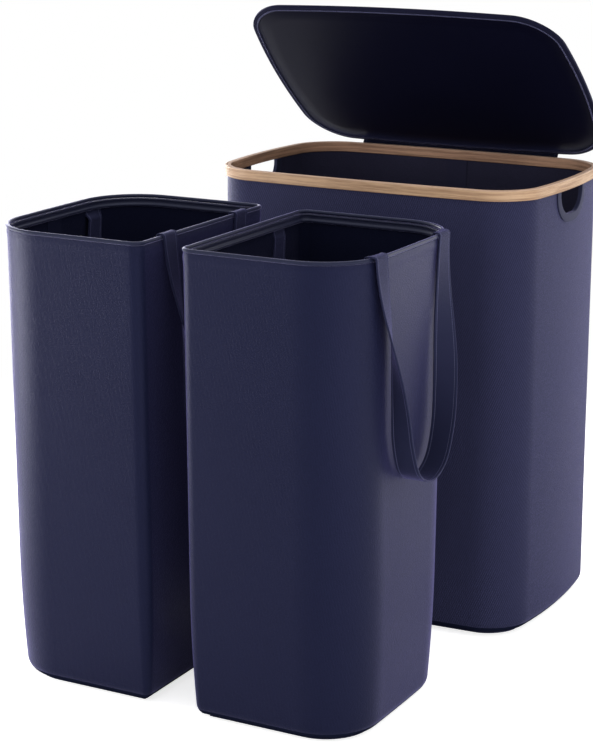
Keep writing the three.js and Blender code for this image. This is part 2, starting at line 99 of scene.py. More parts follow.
class Graph:
    """Adds nodes to one node tree and links them."""

    def __init__(self, tree: bpy.types.NodeTree) -> None:
        """Keeps the node tree of a material, a group or the world."""
        self.tree = tree

    def feed(self, socket: Socket, value: Any) -> None:
        """Links an output socket to an input, or sets the input to a value.

        Args:
            socket: the input.
            value: an output socket, or a plain value.
        """
        if isinstance(value, Socket):
            self.tree.links.new(value, socket)
        else:
            socket.default_value = value

    def add(self, kind: str, inputs: dict[str | int, Any] | None = None, **settings: Any) -> bpy.types.Node:
        """Adds a node.

        Args:
            kind: the node's type name.
            inputs: what each input socket gets, by name or number.
            settings: the node's own properties.

        Returns:
            The node.
        """
        node = self.tree.nodes.new(kind)
        for name, value in settings.items():
            setattr(node, name, value)
        for key, value in (inputs or {}).items():
            self.feed(node.inputs[key], value)
        return node

    def math(self, operation: str, *values: Any) -> Socket:
        """Adds a Math node and returns its output."""
        return self.add("ShaderNodeMath", dict(enumerate(values)), operation=operation).outputs[0]

    def times(self, first: Any, second: Any) -> Socket:
        """Multiplies two values."""
        return self.math("MULTIPLY", first, second)

    def plus(self, first: Any, second: Any) -> Socket:
        """Adds two values."""
        return self.math("ADD", first, second)

    def minus(self, first: Any, second: Any) -> Socket:
        """Subtracts the second value from the first."""
        return self.math("SUBTRACT", first, second)

    def shares(self, first: Any, second: Any, share: float) -> Socket:
        """Adds a share of the first value and the rest of the second."""
        return self.plus(self.times(first, share), self.times(second, 1 - share))

    def ramp(self, value: Any, low: Any, high: Any, to_low: Any = 0.0, to_high: Any = 1.0) -> Socket:
        """Maps a value smoothly from one range to another and returns the output."""
        inputs = {"Value": value, "From Min": low, "From Max": high, "To Min": to_low, "To Max": to_high}
        return self.add("ShaderNodeMapRange", inputs, interpolation_type="SMOOTHSTEP").outputs["Result"]

    def noise(self, vector: Any, scale: Any, detail: float, roughness: float = 0.55) -> Socket:
        """Adds a three-dimensional noise and returns its value."""
        inputs = {"Vector": vector, "Scale": scale, "Detail": detail, "Roughness": roughness}
        return self.add("ShaderNodeTexNoise", inputs).outputs["Fac"]

    def axes(self, vector: Any) -> tuple[Socket, Socket, Socket]:
        """Splits a vector into its three parts."""
        node = self.add("ShaderNodeSeparateXYZ", {"Vector": vector})
        return node.outputs["X"], node.outputs["Y"], node.outputs["Z"]

    def vector(self, x: Any, y: Any, z: Any = 0.0) -> Socket:
        """Joins three values into a vector."""
        return self.add("ShaderNodeCombineXYZ", {"X": x, "Y": y, "Z": z}).outputs["Vector"]

    def scaled(self, vector: Any, factor: Any) -> Socket:
        """Multiplies a vector or a colour by a value."""
        return self.add("ShaderNodeVectorMath", {0: vector, "Scale": factor}, operation="SCALE").outputs[0]

    def moved(self, vector: Any, shift: Any) -> Socket:
        """Adds two vectors."""
        return self.add("ShaderNodeVectorMath", {0: vector, 1: shift}, operation="ADD").outputs[0]

    def mixed(self, factor: Any, first: Any, second: Any) -> Socket:
        """Mixes two colours and returns the result."""
        inputs = {"Factor": factor, 6: first, 7: second}
        return self.add("ShaderNodeMix", inputs, data_type="RGBA", clamp_factor=True).outputs[2]

    def use(self, pattern: "Pattern", **inputs: Any) -> bpy.types.Node:
        """Adds a shared pattern's node group and feeds its inputs."""
        return self.add("ShaderNodeGroup", inputs, node_tree=pattern.tree())


ORIGIN = (0.0, 0.0, 0.0)


@dataclass(frozen=True)
class Pattern:
    """A shader node group, made once, that puts out values which vary over a surface."""

    NAME: ClassVar[str]
    INPUTS: ClassVar[dict[str, Any]]
    OUTPUTS: ClassVar[tuple[str, ...]]
    MADE: ClassVar[dict[str, bpy.types.NodeTree]] = {}

    def fill(self, graph: Graph, *inputs: Socket) -> Sequence[Socket]:
        """Adds the group's nodes; each pattern has its own.

        Args:
            graph: the group's node tree.
            inputs: the group's inputs in their order.

        Returns:
            The socket behind each output in their order.
        """
        raise NotImplementedError

    def tree(self) -> bpy.types.NodeTree:
        """Makes the group, or returns the made one.

        Returns:
            The group.
        """
        if self.NAME in self.MADE:
            return self.MADE[self.NAME]
        tree = self.MADE[self.NAME] = bpy.data.node_groups.new(self.NAME, "ShaderNodeTree")
        for label, default in self.INPUTS.items():
            kind = "NodeSocketVector" if isinstance(default, tuple) else "NodeSocketFloat"
            tree.interface.new_socket(label, in_out="INPUT", socket_type=kind).default_value = default
        for label in self.OUTPUTS:
            tree.interface.new_socket(label, in_out="OUTPUT", socket_type="NodeSocketFloat")
        graph = Graph(tree)
        source, sink = graph.add("NodeGroupInput"), graph.add("NodeGroupOutput")
        made = self.fill(graph, *(source.outputs[label] for label in self.INPUTS))
        for label, value in zip(self.OUTPUTS, made):
            graph.feed(sink.inputs[label], value)
        return tree


@dataclass(frozen=True)
class Mottle(Pattern):
    """Cloudy tone that varies about one."""

    NAME = "mottle"
    INPUTS = {"Place": ORIGIN, "Scale": 9.0, "Amount": 0.1}
    OUTPUTS = ("Tone", "Cloud")

    finer: float = 9.0
    broad_share: float = 0.7
    swing: float = 4.0

    def fill(self, graph: Graph, place: Socket, scale: Socket, amount: Socket) -> Sequence[Socket]:
        """Adds two noises of different size.

        Args:
            graph: the group's node tree.
            place: coordinates in metres.
            scale: clouds to a metre.
            amount: how far the tone swings.

        Returns:
            The tone, and the noise behind it.
        """
        broad = graph.noise(place, scale, 3.0)
        fine = graph.noise(place, graph.times(scale, self.finer), 2.0)
        cloud = graph.shares(broad, fine, self.broad_share)
        swing = graph.times(graph.minus(cloud, 0.5), graph.times(amount, self.swing))
        return graph.plus(1.0, swing), cloud


@dataclass(frozen=True)
class Pebble(Pattern):
    """Fine pebbled grain: rounded cells with creases between them."""

    NAME = "pebble"
    INPUTS = {"Place": ORIGIN, "Scale": 700.0}
    OUTPUTS = ("Height",)

    warp_scale: float = 0.6
    warp_reach: float = 0.5
    crown: float = 0.1
    crease: float = 0.75

    def fill(self, graph: Graph, place: Socket, scale: Socket) -> Sequence[Socket]:
        """Adds cells, bent by a noise.

        Args:
            graph: the group's node tree.
            place: coordinates in metres.
            scale: pebbles to a metre.

        Returns:
            The height.
        """
        warp = {"Vector": place, "Scale": graph.times(scale, self.warp_scale), "Detail": 2.0}
        bent = graph.add("ShaderNodeTexNoise", warp).outputs["Color"]
        moved = graph.moved(place, graph.scaled(bent, graph.math("DIVIDE", self.warp_reach, scale)))
        cells = graph.add("ShaderNodeTexVoronoi", {"Vector": moved, "Scale": scale}, feature="SMOOTH_F1")
        return (graph.ramp(cells.outputs["Distance"], self.crown, self.crease, 1.0, 0.0),)


@dataclass(frozen=True)
class Rib(Pattern):
    """Slanting ribs of a twill: wave along u + v * slant, broken by the crossing threads."""

    NAME = "rib"
    INPUTS = {"Place": ORIGIN, "Pitch": 0.002, "Slant": 1.0}
    OUTPUTS = ("Height",)

    threads: float = 2.0
    thread_share: float = 0.2

    def fill(self, graph: Graph, place: Socket, pitch: Socket, slant: Socket) -> Sequence[Socket]:
        """Adds the ribs' wave and the crossing threads' wave.

        Args:
            graph: the group's node tree.
            place: UV in metres.
            pitch: length of a rib and its furrow.
            slant: how much v counts against u.

        Returns:
            The height.
        """
        u, v, _ = graph.axes(place)
        turn = graph.math("DIVIDE", 2 * math.pi, pitch)
        along = graph.plus(u, graph.times(v, slant))
        rib = graph.math("MULTIPLY_ADD", graph.math("SINE", graph.times(along, turn)), 0.5, 0.5)
        across = graph.minus(v, graph.times(u, slant))
        thread = graph.math("SINE", graph.times(graph.times(across, turn), self.threads))
        kept = graph.math("MULTIPLY_ADD", thread, self.thread_share, 1 - self.thread_share)
        return (graph.times(rib, kept),)


@dataclass(frozen=True)
class Stitch(Pattern):
    """A line of stitches along u at one v: rounded dashes with a short gap, in a furrow."""

    NAME = "thread"
    INPUTS = {"Place": ORIGIN, "Row": 0.0, "Pitch": 0.0035, "Width": 0.0007}
    OUTPUTS = ("Mask", "Height")

    line: Pair = (0.3, 0.7)
    dash: Pair = (0.32, 0.42)
    furrow: Pair = (0.5, 1.6)
    rise: float = 1.4
    sink: float = 0.6

    def fill(
        self, graph: Graph, place: Socket, row: Socket, pitch: Socket, width: Socket
    ) -> Sequence[Socket]:
        """Adds the dashes' length and width, and the furrow that they lie in.

        Args:
            graph: the group's node tree.
            place: UV in metres.
            row: v of the line.
            pitch: length of a stitch and its gap.
            width: the thread's width.

        Returns:
            The mask of the thread, and the height.
        """
        u, v, _ = graph.axes(place)
        off = graph.math("DIVIDE", graph.math("ABSOLUTE", graph.minus(v, row)), width)
        share = graph.math("FRACT", graph.math("DIVIDE", u, pitch))
        dash = graph.ramp(graph.math("ABSOLUTE", graph.minus(share, 0.5)), *self.dash, 1.0, 0.0)
        mask = graph.times(graph.ramp(off, *self.line, 1.0, 0.0), dash)
        furrow = graph.ramp(off, *self.furrow, 1.0, 0.0)
        return mask, graph.minus(graph.times(mask, self.rise), graph.times(furrow, self.sink))


@dataclass(frozen=True)
class Grain(Pattern):
    """Lengthwise wood grain from noises drawn out along u, with darker pores."""

    NAME = "grain"
    INPUTS = {"Place": ORIGIN, "Scale": 1.0}
    OUTPUTS = ("Streak", "Pores")

    broad: Pair = (9.0, 280.0)
    fine: Pair = (26.0, 1100.0)
    pore: Pair = (60.0, 2600.0)
    broad_share: float = 0.6
    streak_edge: Pair = (0.4, 0.62)
    pore_edge: Pair = (0.62, 0.72)

    def fill(self, graph: Graph, place: Socket, scale: Socket) -> Sequence[Socket]:
        """Adds broad bands, fine streaks and short pores.

        Args:
            graph: the group's node tree.
            place: UV in metres.
            scale: factor on all three noises.

        Returns:
            The streaks and the pores.
        """
        u, v, w = graph.axes(place)
        broad, fine, pore = (
            graph.vector(graph.times(u, along), graph.times(v, across), w)
            for along, across in (self.broad, self.fine, self.pore)
        )
        bands, streaks = graph.noise(broad, scale, 5.0), graph.noise(fine, scale, 3.0, 0.7)
        streak = graph.shares(bands, streaks, self.broad_share)
        pores = graph.ramp(graph.noise(pore, scale, 2.0), *self.pore_edge)
        return graph.ramp(streak, *self.streak_edge), pores


@dataclass(frozen=True)
class Fuzz(Pattern):
    """Short fibres of felt or brushed cloth."""

    NAME = "fuzz"
    INPUTS = {"Place": ORIGIN, "Scale": 900.0}
    OUTPUTS = ("Height", "Lint")

    finer: float = 3.1
    coarse_share: float = 0.6
    lint_edge: Pair = (0.6, 0.8)

    def fill(self, graph: Graph, place: Socket, scale: Socket) -> Sequence[Socket]:
        """Adds two fine noises.

        Args:
            graph: the group's node tree.
            place: coordinates in metres.
            scale: tufts to a metre.

        Returns:
            The height and the lint.
        """
        coarse = graph.noise(place, scale, 5.0, 0.7)
        fibre = graph.noise(place, graph.times(scale, self.finer), 3.0, 0.8)
        rest = graph.times(fibre, 1 - self.coarse_share)
        height = graph.math("MULTIPLY_ADD", coarse, self.coarse_share, rest)
        return height, graph.ramp(fibre, *self.lint_edge)


# Finishes


@dataclass(frozen=True)
class Coat:
    """One material in the making: its node tree and shader, and Object and UV coordinates in metres."""

    graph: Graph
    shader: bpy.types.Node
    place: Socket
    uv: Socket

    def feed(self, name: str, value: Any) -> None:
        """Feeds one of the shader's inputs."""
        self.graph.feed(self.shader.inputs[name], value)

    def mottle(self, scale: float, amount: float) -> bpy.types.Node:
        """Adds a cloudy tone over the whole piece."""
        return self.graph.use(Mottle(), Place=self.place, Scale=scale, Amount=amount)

    def fuzz(self, scale: float) -> bpy.types.Node:
        """Adds fibres over the whole piece."""
        return self.graph.use(Fuzz(), Place=self.place, Scale=scale)

    def ribs(self, pitch: float, slant: float) -> Socket:
        """Adds ribs along the piece's own UV and returns their height."""
        return self.graph.use(Rib(), Place=self.uv, Pitch=pitch, Slant=slant).outputs["Height"]

    def bump(self, *layers: tuple[Any, float]) -> None:
        """Chains bumps into the shader's normal.

        Args:
            layers: height and real depth in metres of each layer.
        """
        normal = None
        for height, depth in layers:
            node = self.graph.add("ShaderNodeBump", {"Height": height, "Distance": depth, "Strength": 1.0})
            if normal is not None:
                self.graph.feed(node.inputs["Normal"], normal)
            normal = node.outputs["Normal"]
        self.feed("Normal", normal)


@dataclass(frozen=True)
class Finish:
    """A procedural finish; colours are linear."""

    MADE: ClassVar[dict[str, bpy.types.Material]] = {}

    name: str
    color: Color
    roughness: float
    specular: float
    sheen: float = 0.0
    sheen_roughness: float = 0.3
    sheen_tint: Color = (0.56, 0.54, 1.0)
    specular_tint: Color = (0.8, 0.84, 1.0)

    def material(self) -> bpy.types.Material:
        """Makes the material, or returns the made one.

        Returns:
            The material with its node tree filled.
        """
        if self.name in self.MADE:
            return self.MADE[self.name]
        made = self.MADE[self.name] = bpy.data.materials.new(self.name)
        made.use_nodes = True
        made.node_tree.nodes.clear()
        graph = Graph(made.node_tree)
        shader = graph.add(
            "ShaderNodeBsdfPrincipled",
            {
                "Specular IOR Level": self.specular,
                "Specular Tint": (*self.specular_tint, 1.0),
                "Sheen Weight": self.sheen,
                "Sheen Roughness": self.sheen_roughness,
                "Sheen Tint": (*self.sheen_tint, 1.0),
            },
        )
        graph.add("ShaderNodeOutputMaterial", {"Surface": shader.outputs["BSDF"]})
        coordinates = graph.add("ShaderNodeTexCoord")
        self.dress(Coat(graph, shader, coordinates.outputs["Object"], coordinates.outputs["UV"]))
        return made

    def dress(self, coat: Coat) -> None:
        """Feeds the shader's colour, roughness and normal; each kind of finish has its own.

        Args:
            coat: the material in the making.
        """
        raise NotImplementedError

    def tinted(self, coat: Coat, factor: Any) -> Socket:
        """Multiplies the finish's own colour by a value."""
        return coat.graph.scaled(self.color, factor)

    def clouded(self, coat: Coat, cloud: bpy.types.Node, swing: float) -> Socket:
        """Lets the roughness swing about its own value with a cloudy tone."""
        off = coat.graph.minus(cloud.outputs["Cloud"], 0.5)
        return coat.graph.math("MULTIPLY_ADD", off, swing, self.roughness)


@dataclass(frozen=True)
class SheetFinish(Finish):
    """Stiff coated sheet: fine pebbled grain, an optional slanting rib and cloudy tone."""

    rib_depth: float = 0.0
    rib_pitch: float = 0.0016
    rib_slant: float = 0.45
    rib_tone: float = 0.2
    pebble_scale: float = 620.0
    pebble_depth: float = 0.00012
    pebble_tone: Pair = (0.9, 1.05)
    cloud_scale: float = 7.0
    cloud_tone: float = 0.06
    cloud_gloss: float = 0.18

    def dress(self, coat: Coat) -> None:
        """Adds tone, grain and ribs.

        Args:
            coat: the material in the making.
        """
        graph = coat.graph
        cloud = coat.mottle(self.cloud_scale, self.cloud_tone)
        pebble = graph.use(Pebble(), Place=coat.place, Scale=self.pebble_scale).outputs["Height"]
        layers = [(pebble, self.pebble_depth)]
        tone = graph.times(cloud.outputs["Tone"], graph.ramp(pebble, 0.0, 1.0, *self.pebble_tone))
        if self.rib_depth:
            rib = coat.ribs(self.rib_pitch, self.rib_slant)
            layers.append((rib, self.rib_depth))
            tone = graph.times(tone, graph.ramp(rib, 0.0, 1.0, 1 - self.rib_tone, 1 + self.rib_tone))
        coat.feed("Base Color", self.tinted(coat, tone))
        coat.feed("Roughness", self.clouded(coat, cloud, self.cloud_gloss))
        coat.bump(*layers)


@dataclass(frozen=True)
class WebbingFinish(Finish):
    """Woven strap: ribs across its length, hemmed edges with a stitched line each and a painted highlight
    along each hem.
    """

    width: float = 0.031
    hem: float = 0.0033
    hem_shares: Pair = (0.85, 1.1)
    # painted highlight: how much lighter the hems are painted, as if they caught the light
    hem_highlight: float = 1.06
    weave_pitch: float = 0.0011
    weave_slant: float = 0.35
    weave_tone: Pair = (0.82, 1.1)
    weave_depth: float = 0.00016
    stitch_in: float = 0.0006
    stitch_pitch: float = 0.003
    stitch_width: float = 0.0006
    stitch_depth: float = 0.00025
    stitch_color: Color = (0.09, 0.095, 0.16)
    cloud_scale: float = 30.0
    cloud_tone: float = 0.06
    cloud_gloss: float = 0.15

    def dress(self, coat: Coat) -> None:
        """Adds the weave, a painted highlight along the hems and two stitched lines.

        Args:
            coat: the material in the making.
        """
        graph = coat.graph
        cloud = coat.mottle(self.cloud_scale, self.cloud_tone)
        weave = coat.ribs(self.weave_pitch, self.weave_slant)
        along, across, _ = graph.axes(coat.uv)
        edge = graph.math("MINIMUM", across, graph.minus(self.width, across))
        # painted highlight: the colour is lightened towards both hemmed edges
        hem = graph.ramp(edge, *(self.hem * share for share in self.hem_shares), self.hem_highlight, 1.0)
        tone = graph.times(cloud.outputs["Tone"], graph.ramp(weave, 0.0, 1.0, *self.weave_tone))
        color = self.tinted(coat, graph.times(tone, hem))
        row, pitch, width = self.hem + self.stitch_in, self.stitch_pitch, self.stitch_width
        stitch = graph.use(Stitch(), Place=graph.vector(along, edge), Row=row, Pitch=pitch, Width=width)
        coat.feed("Base Color", graph.mixed(stitch.outputs["Mask"], color, (*self.stitch_color, 1.0)))
        coat.feed("Roughness", self.clouded(coat, cloud, self.cloud_gloss))
        coat.bump((weave, self.weave_depth), (stitch.outputs["Height"], self.stitch_depth))


@dataclass(frozen=True)
class WoodFinish(Finish):
    """Bent wood strip with lengthwise grain along u, a painted highlight along its upper edge and a painted
    shadow along its lower one.
    """

    dark: Color = (0.30, 0.18, 0.10)
    # painted highlight: a pale pinkish colour along the band's upper edge, where light catches it
    top_highlight: Color = (0.62, 0.45, 0.36)
    top_highlight_from: Pair = (0.6344, 0.6356)
    top_highlight_share: float = 0.45
    # painted shadow: a dark reddish colour along the band's lower edge, the shadow under the band
    shaded: Color = (0.10, 0.04, 0.03)
    shaded_to: Pair = (0.6212, 0.6224)
    shaded_share: float = 0.75
    streak_share: float = 0.7
    pore_share: float = 0.35
    pore_depth: float = 0.8
    grain_depth: float = 0.00012
    grain_gloss: float = 0.14
    drift_scale: float = 5.0
    drift_tone: float = 0.07

    def dress(self, coat: Coat) -> None:
        """Adds streaks, pores, a slow drift of tone, and at their heights a painted highlight along the upper
        edge and a painted shadow along the lower edge.

        Args:
            coat: the material in the making.
        """
        graph = coat.graph
        u, v, _ = graph.axes(coat.uv)
        grain = graph.use(Grain(), Place=graph.vector(u, v), Scale=1.0)
        streak, pores = grain.outputs["Streak"], grain.outputs["Pores"]
        drift = coat.mottle(self.drift_scale, self.drift_tone)
        height = graph.axes(coat.place)[2]
        wood = (*self.color, 1.0)
        for share, color in (
            (graph.times(streak, self.streak_share), self.dark),
            (graph.times(pores, self.pore_share), self.dark),
            # painted highlight towards the upper edge
            (graph.ramp(height, *self.top_highlight_from, 0.0, self.top_highlight_share), self.top_highlight),
            # painted shadow along the lower edge
            (graph.ramp(height, *self.shaded_to, self.shaded_share, 0.0), self.shaded),
        ):
            wood = graph.mixed(share, wood, (*color, 1.0))
        coat.feed("Base Color", graph.scaled(wood, drift.outputs["Tone"]))
        gloss = graph.ramp(streak, 0.0, 1.0, self.roughness, self.roughness + self.grain_gloss)
        coat.feed("Roughness", gloss)
        coat.bump((graph.minus(streak, graph.times(pores, self.pore_depth)), -self.grain_depth))


@dataclass(frozen=True)
class FuzzyFinish(Finish):
    """A cloudy surface with fine fibres or erosion, whose height sets the roughness too."""

    cloud_scale: float = 12.0
    cloud_tone: float = 0.14
    fuzz_scale: float = 900.0
    fuzz_depth: float = 0.0003
    fuzz_gloss: Pair = (-0.05, 0.15)

    FUZZ_RANGE: ClassVar[Pair] = (0.2, 0.8)

    def tone(self, coat: Coat, cloud: Socket, fuzz: bpy.types.Node) -> Socket:
        """The factor on the finish's colour: here the cloudy tone alone."""
        return cloud

    def dress(self, coat: Coat) -> None:
        """Adds the cloudy tone and the fibres.

        Args:
            coat: the material in the making.
        """
        cloud = coat.mottle(self.cloud_scale, self.cloud_tone).outputs["Tone"]
        fuzz = coat.fuzz(self.fuzz_scale)
        height = fuzz.outputs["Height"]
        gloss = (self.roughness + off for off in self.fuzz_gloss)
        coat.feed("Base Color", self.tinted(coat, self.tone(coat, cloud, fuzz)))
        coat.feed("Roughness", coat.graph.ramp(height, *self.FUZZ_RANGE, *gloss))
        coat.bump((height, self.fuzz_depth))


@dataclass(frozen=True)
class FeltFinish(FuzzyFinish):
    """Brushed cloth with short fibres, a cloudy nap and a little lint."""

    lint: float = 0.6

    def tone(self, coat: Coat, cloud: Socket, fuzz: bpy.types.Node) -> Socket:
        """Brightens the nap where there is lint."""
        return coat.graph.math("MULTIPLY_ADD", fuzz.outputs["Lint"], self.lint, cloud)


@dataclass(frozen=True)
class PlasticFinish(FuzzyFinish):
    """Moulded plastic with a fine eroded texture and slight variation in tone and gloss."""

    cloud_scale: float = 40.0
    cloud_tone: float = 0.05
    fuzz_scale: float = 1400.0
    fuzz_depth: float = 0.00008
    fuzz_gloss: Pair = (-0.06, 0.1)


@dataclass(frozen=True)
class PaperFinish(FuzzyFinish):
    """Board covered with dark paper: matt, with faint fibres and broad stains."""

    cloud_scale: float = 16.0
    cloud_tone: float = 0.1
    fuzz_scale: float = 350.0
    fuzz_depth: float = 0.00015
    fuzz_gloss: Pair = (0.0, 0.15)
    fibre_tone: Pair = (0.85, 1.1)

    def tone(self, coat: Coat, cloud: Socket, fuzz: bpy.types.Node) -> Socket:
        """Darkens the stains between the fibres."""
        fibres = coat.graph.ramp(fuzz.outputs["Height"], *self.FUZZ_RANGE, *self.fibre_tone)
        return coat.graph.times(cloud, fibres)


RIBBED = {"rib_depth": 0.0003, "rib_pitch": 0.0031, "rib_tone": 0.26}
FINE_RIBBED = {"rib_depth": 0.0001}
BLUE_GLOSS = {"specular_tint": (0.5, 0.5, 1.0)}
WHITE_GLOSS = {"specular_tint": (1.0, 1.0, 1.0)}

HAMPER_SHEET = SheetFinish(
    "hamper_sheet", (0.0290, 0.0305, 0.0700), 0.5, 0.05, 0.45,
    sheen_tint=(0.50, 0.47, 1.0), **BLUE_GLOSS, **RIBBED
)
HAMPER_INNER = SheetFinish("hamper_inner_face", (0.0300, 0.0290, 0.0560), 0.7, 0.03, 0.25, **FINE_RIBBED)
BIN_SHEET = SheetFinish(
    "bin_sheet", (0.0082, 0.0102, 0.0295), 0.42, 0.16, 0.6,
    sheen_roughness=0.34, sheen_tint=(0.42, 0.38, 1.0), **BLUE_GLOSS,
    rib_depth=0.0001, rib_pitch=0.0019, rib_slant=0.1, rib_tone=0.1
)
INNER_SHEET = SheetFinish("inner_face", (0.0068, 0.0080, 0.0225), 0.75, 0.02, 0.25, **FINE_RIBBED)
# painted shade: a dull copy of the sheet without sheen or gloss, darker than the hamper's sheet, put along
# the walls' lower edge
FOOT_SHADE_SHEET = SheetFinish("foot_shade_sheet", (0.0090, 0.0110, 0.0270), 0.8, 0.0)
LID_SHEET = SheetFinish("lid_sheet", (0.0200, 0.0215, 0.0500), 0.55, 0.02, 0.5, **RIBBED)
# painted shade: a darker copy of the lid's sheet for its rounded edge and turned-in hem
LID_HEM_SHADE = SheetFinish("lid_hem_shade", (0.0075, 0.0080, 0.0210), 0.6, 0.02, 0.4)
RIM_HEM = SheetFinish("rim_hem", (0.0120, 0.0138, 0.0350), 0.4, 0.25, 0.5, pebble_depth=0.00006)
BEAD = SheetFinish("bead", (0.0120, 0.0142, 0.0370), 0.38, 0.2, 0.9, pebble_depth=0.00002)
WEBBING = WebbingFinish(
    "strap_webbing", (0.0165, 0.0185, 0.0450), 0.55, 0.12, 0.4, sheen_tint=(0.45, 0.42, 1.0), **BLUE_GLOSS
)
PIPING = WebbingFinish("piping", (0.0150, 0.0160, 0.0400), 0.6, 0.1, 0.8)
HINGE_CLOTH = WebbingFinish("hinge_cloth", (0.008, 0.009, 0.022), 0.8, 0.03, 0.15, width=0.32, hem=0.004)
LINING = FeltFinish(
    "lid_felt", (0.0020, 0.0020, 0.0075), 0.4, 0.045, 0.12, sheen_tint=(0.35, 0.38, 1.0), fuzz_depth=0.00002
)
TAPE = FeltFinish("tape", (0.0085, 0.0098, 0.0255), 0.75, 0.02, 0.2, fuzz_depth=0.0002)
HAMPER_TAPE = FeltFinish("hamper_tape", (0.0265, 0.0260, 0.0520), 0.75, 0.02, 0.3, fuzz_depth=0.0002)
OUTER_WOOD = WoodFinish(
    "outer_wood", (0.540, 0.352, 0.214), 0.45, 0.3, dark=(0.22, 0.115, 0.062), **WHITE_GLOSS
)
INNER_WOOD = WoodFinish(
    "inner_wood", (0.54, 0.315, 0.205), 0.5, 0.3, dark=(0.18, 0.095, 0.058), **WHITE_GLOSS
)
TRIM = PlasticFinish("trim_plastic", (0.0180, 0.0195, 0.0430), 0.5, 0.06, 0.4)
BOARD = PaperFinish("paper_board", (0.05, 0.05, 0.062), 0.85, 0.1)


# Shapes


def smooth(value: np.ndarray, low: float, high: float) -> np.ndarray:
    """Smoothstep of a value between two limits."""
    t = np.clip((value - low) / (high - low), 0, 1)
    return t * t * (3 - 2 * t)


def stacked(*parts: Any) -> np.ndarray:
    """Joins arrays or plain values of one shape, or that broadcast to one, along a new last axis."""
    return np.stack(np.broadcast_arrays(*parts), -1)


def unit(vectors: np.ndarray) -> np.ndarray:
    """Vectors brought to a length of one."""
    return vectors / np.linalg.norm(vectors, axis=-1, keepdims=True)


def run(points: np.ndarray) -> np.ndarray:
    """A path's length up to each of its points."""
    return np.concatenate([[0], np.cumsum(np.linalg.norm(np.diff(points, axis=0), axis=-1))])


def arc(middle: Pair, radius: float, angle: np.ndarray) -> np.ndarray:
    """Points of a circle: middle + radius * (cos, sin) of each angle."""
    return stacked(middle[0] + radius * np.cos(angle), middle[1] + radius * np.sin(angle))


def circle(steps: int) -> np.ndarray:
    """Angles once round, without the last one, which is the first."""
    return np.linspace(0, 2 * math.pi, steps + 1)[:-1]


def rounded(corners: Sequence[Pair], radii: Sequence[float], steps: int = 5) -> np.ndarray:
    """Rounds a closed polygon's corners with short curves (1-t)^2 a + 2t(1-t) p + t^2 b.

    Args:
        corners: the polygon's corners.
        radii: how far from each corner its curve starts.
        steps: points on each curve, less one.

    Returns:
        The rounded polygon's points, shape (corners * (steps + 1), 2).
    """
    p = np.array(corners, float)
    reach = np.array(radii, float)[:, None]
    a = p + unit(np.roll(p, 1, 0) - p) * reach
    b = p + unit(np.roll(p, -1, 0) - p) * reach
    t = np.linspace(0, 1, steps + 1)[None, :, None]
    curve = (1 - t) ** 2 * a[:, None] + 2 * t * (1 - t) * p[:, None] + t**2 * b[:, None]
    return curve.reshape(-1, 2)


def lattice(m: int, n: int, strips: int, sectors: int) -> tuple[np.ndarray, np.ndarray, np.ndarray]:
    """Faces between neighbouring rows and columns of a grid, whose last ones may join the first.

    Args:
        m: rows of the grid.
        n: columns of the grid.
        strips: rows of faces.
        sectors: columns of faces.

    Returns:
        Row and column of each face's first corner, and the numbers of its four corners.
    """
    i, j = (a.ravel() for a in np.meshgrid(np.arange(strips), np.arange(sectors), indexing="ij"))
    up, right = (i + 1) % m, (j + 1) % n
    return i, j, np.stack([i * n + j, i * n + right, up * n + right, up * n + j], 1)


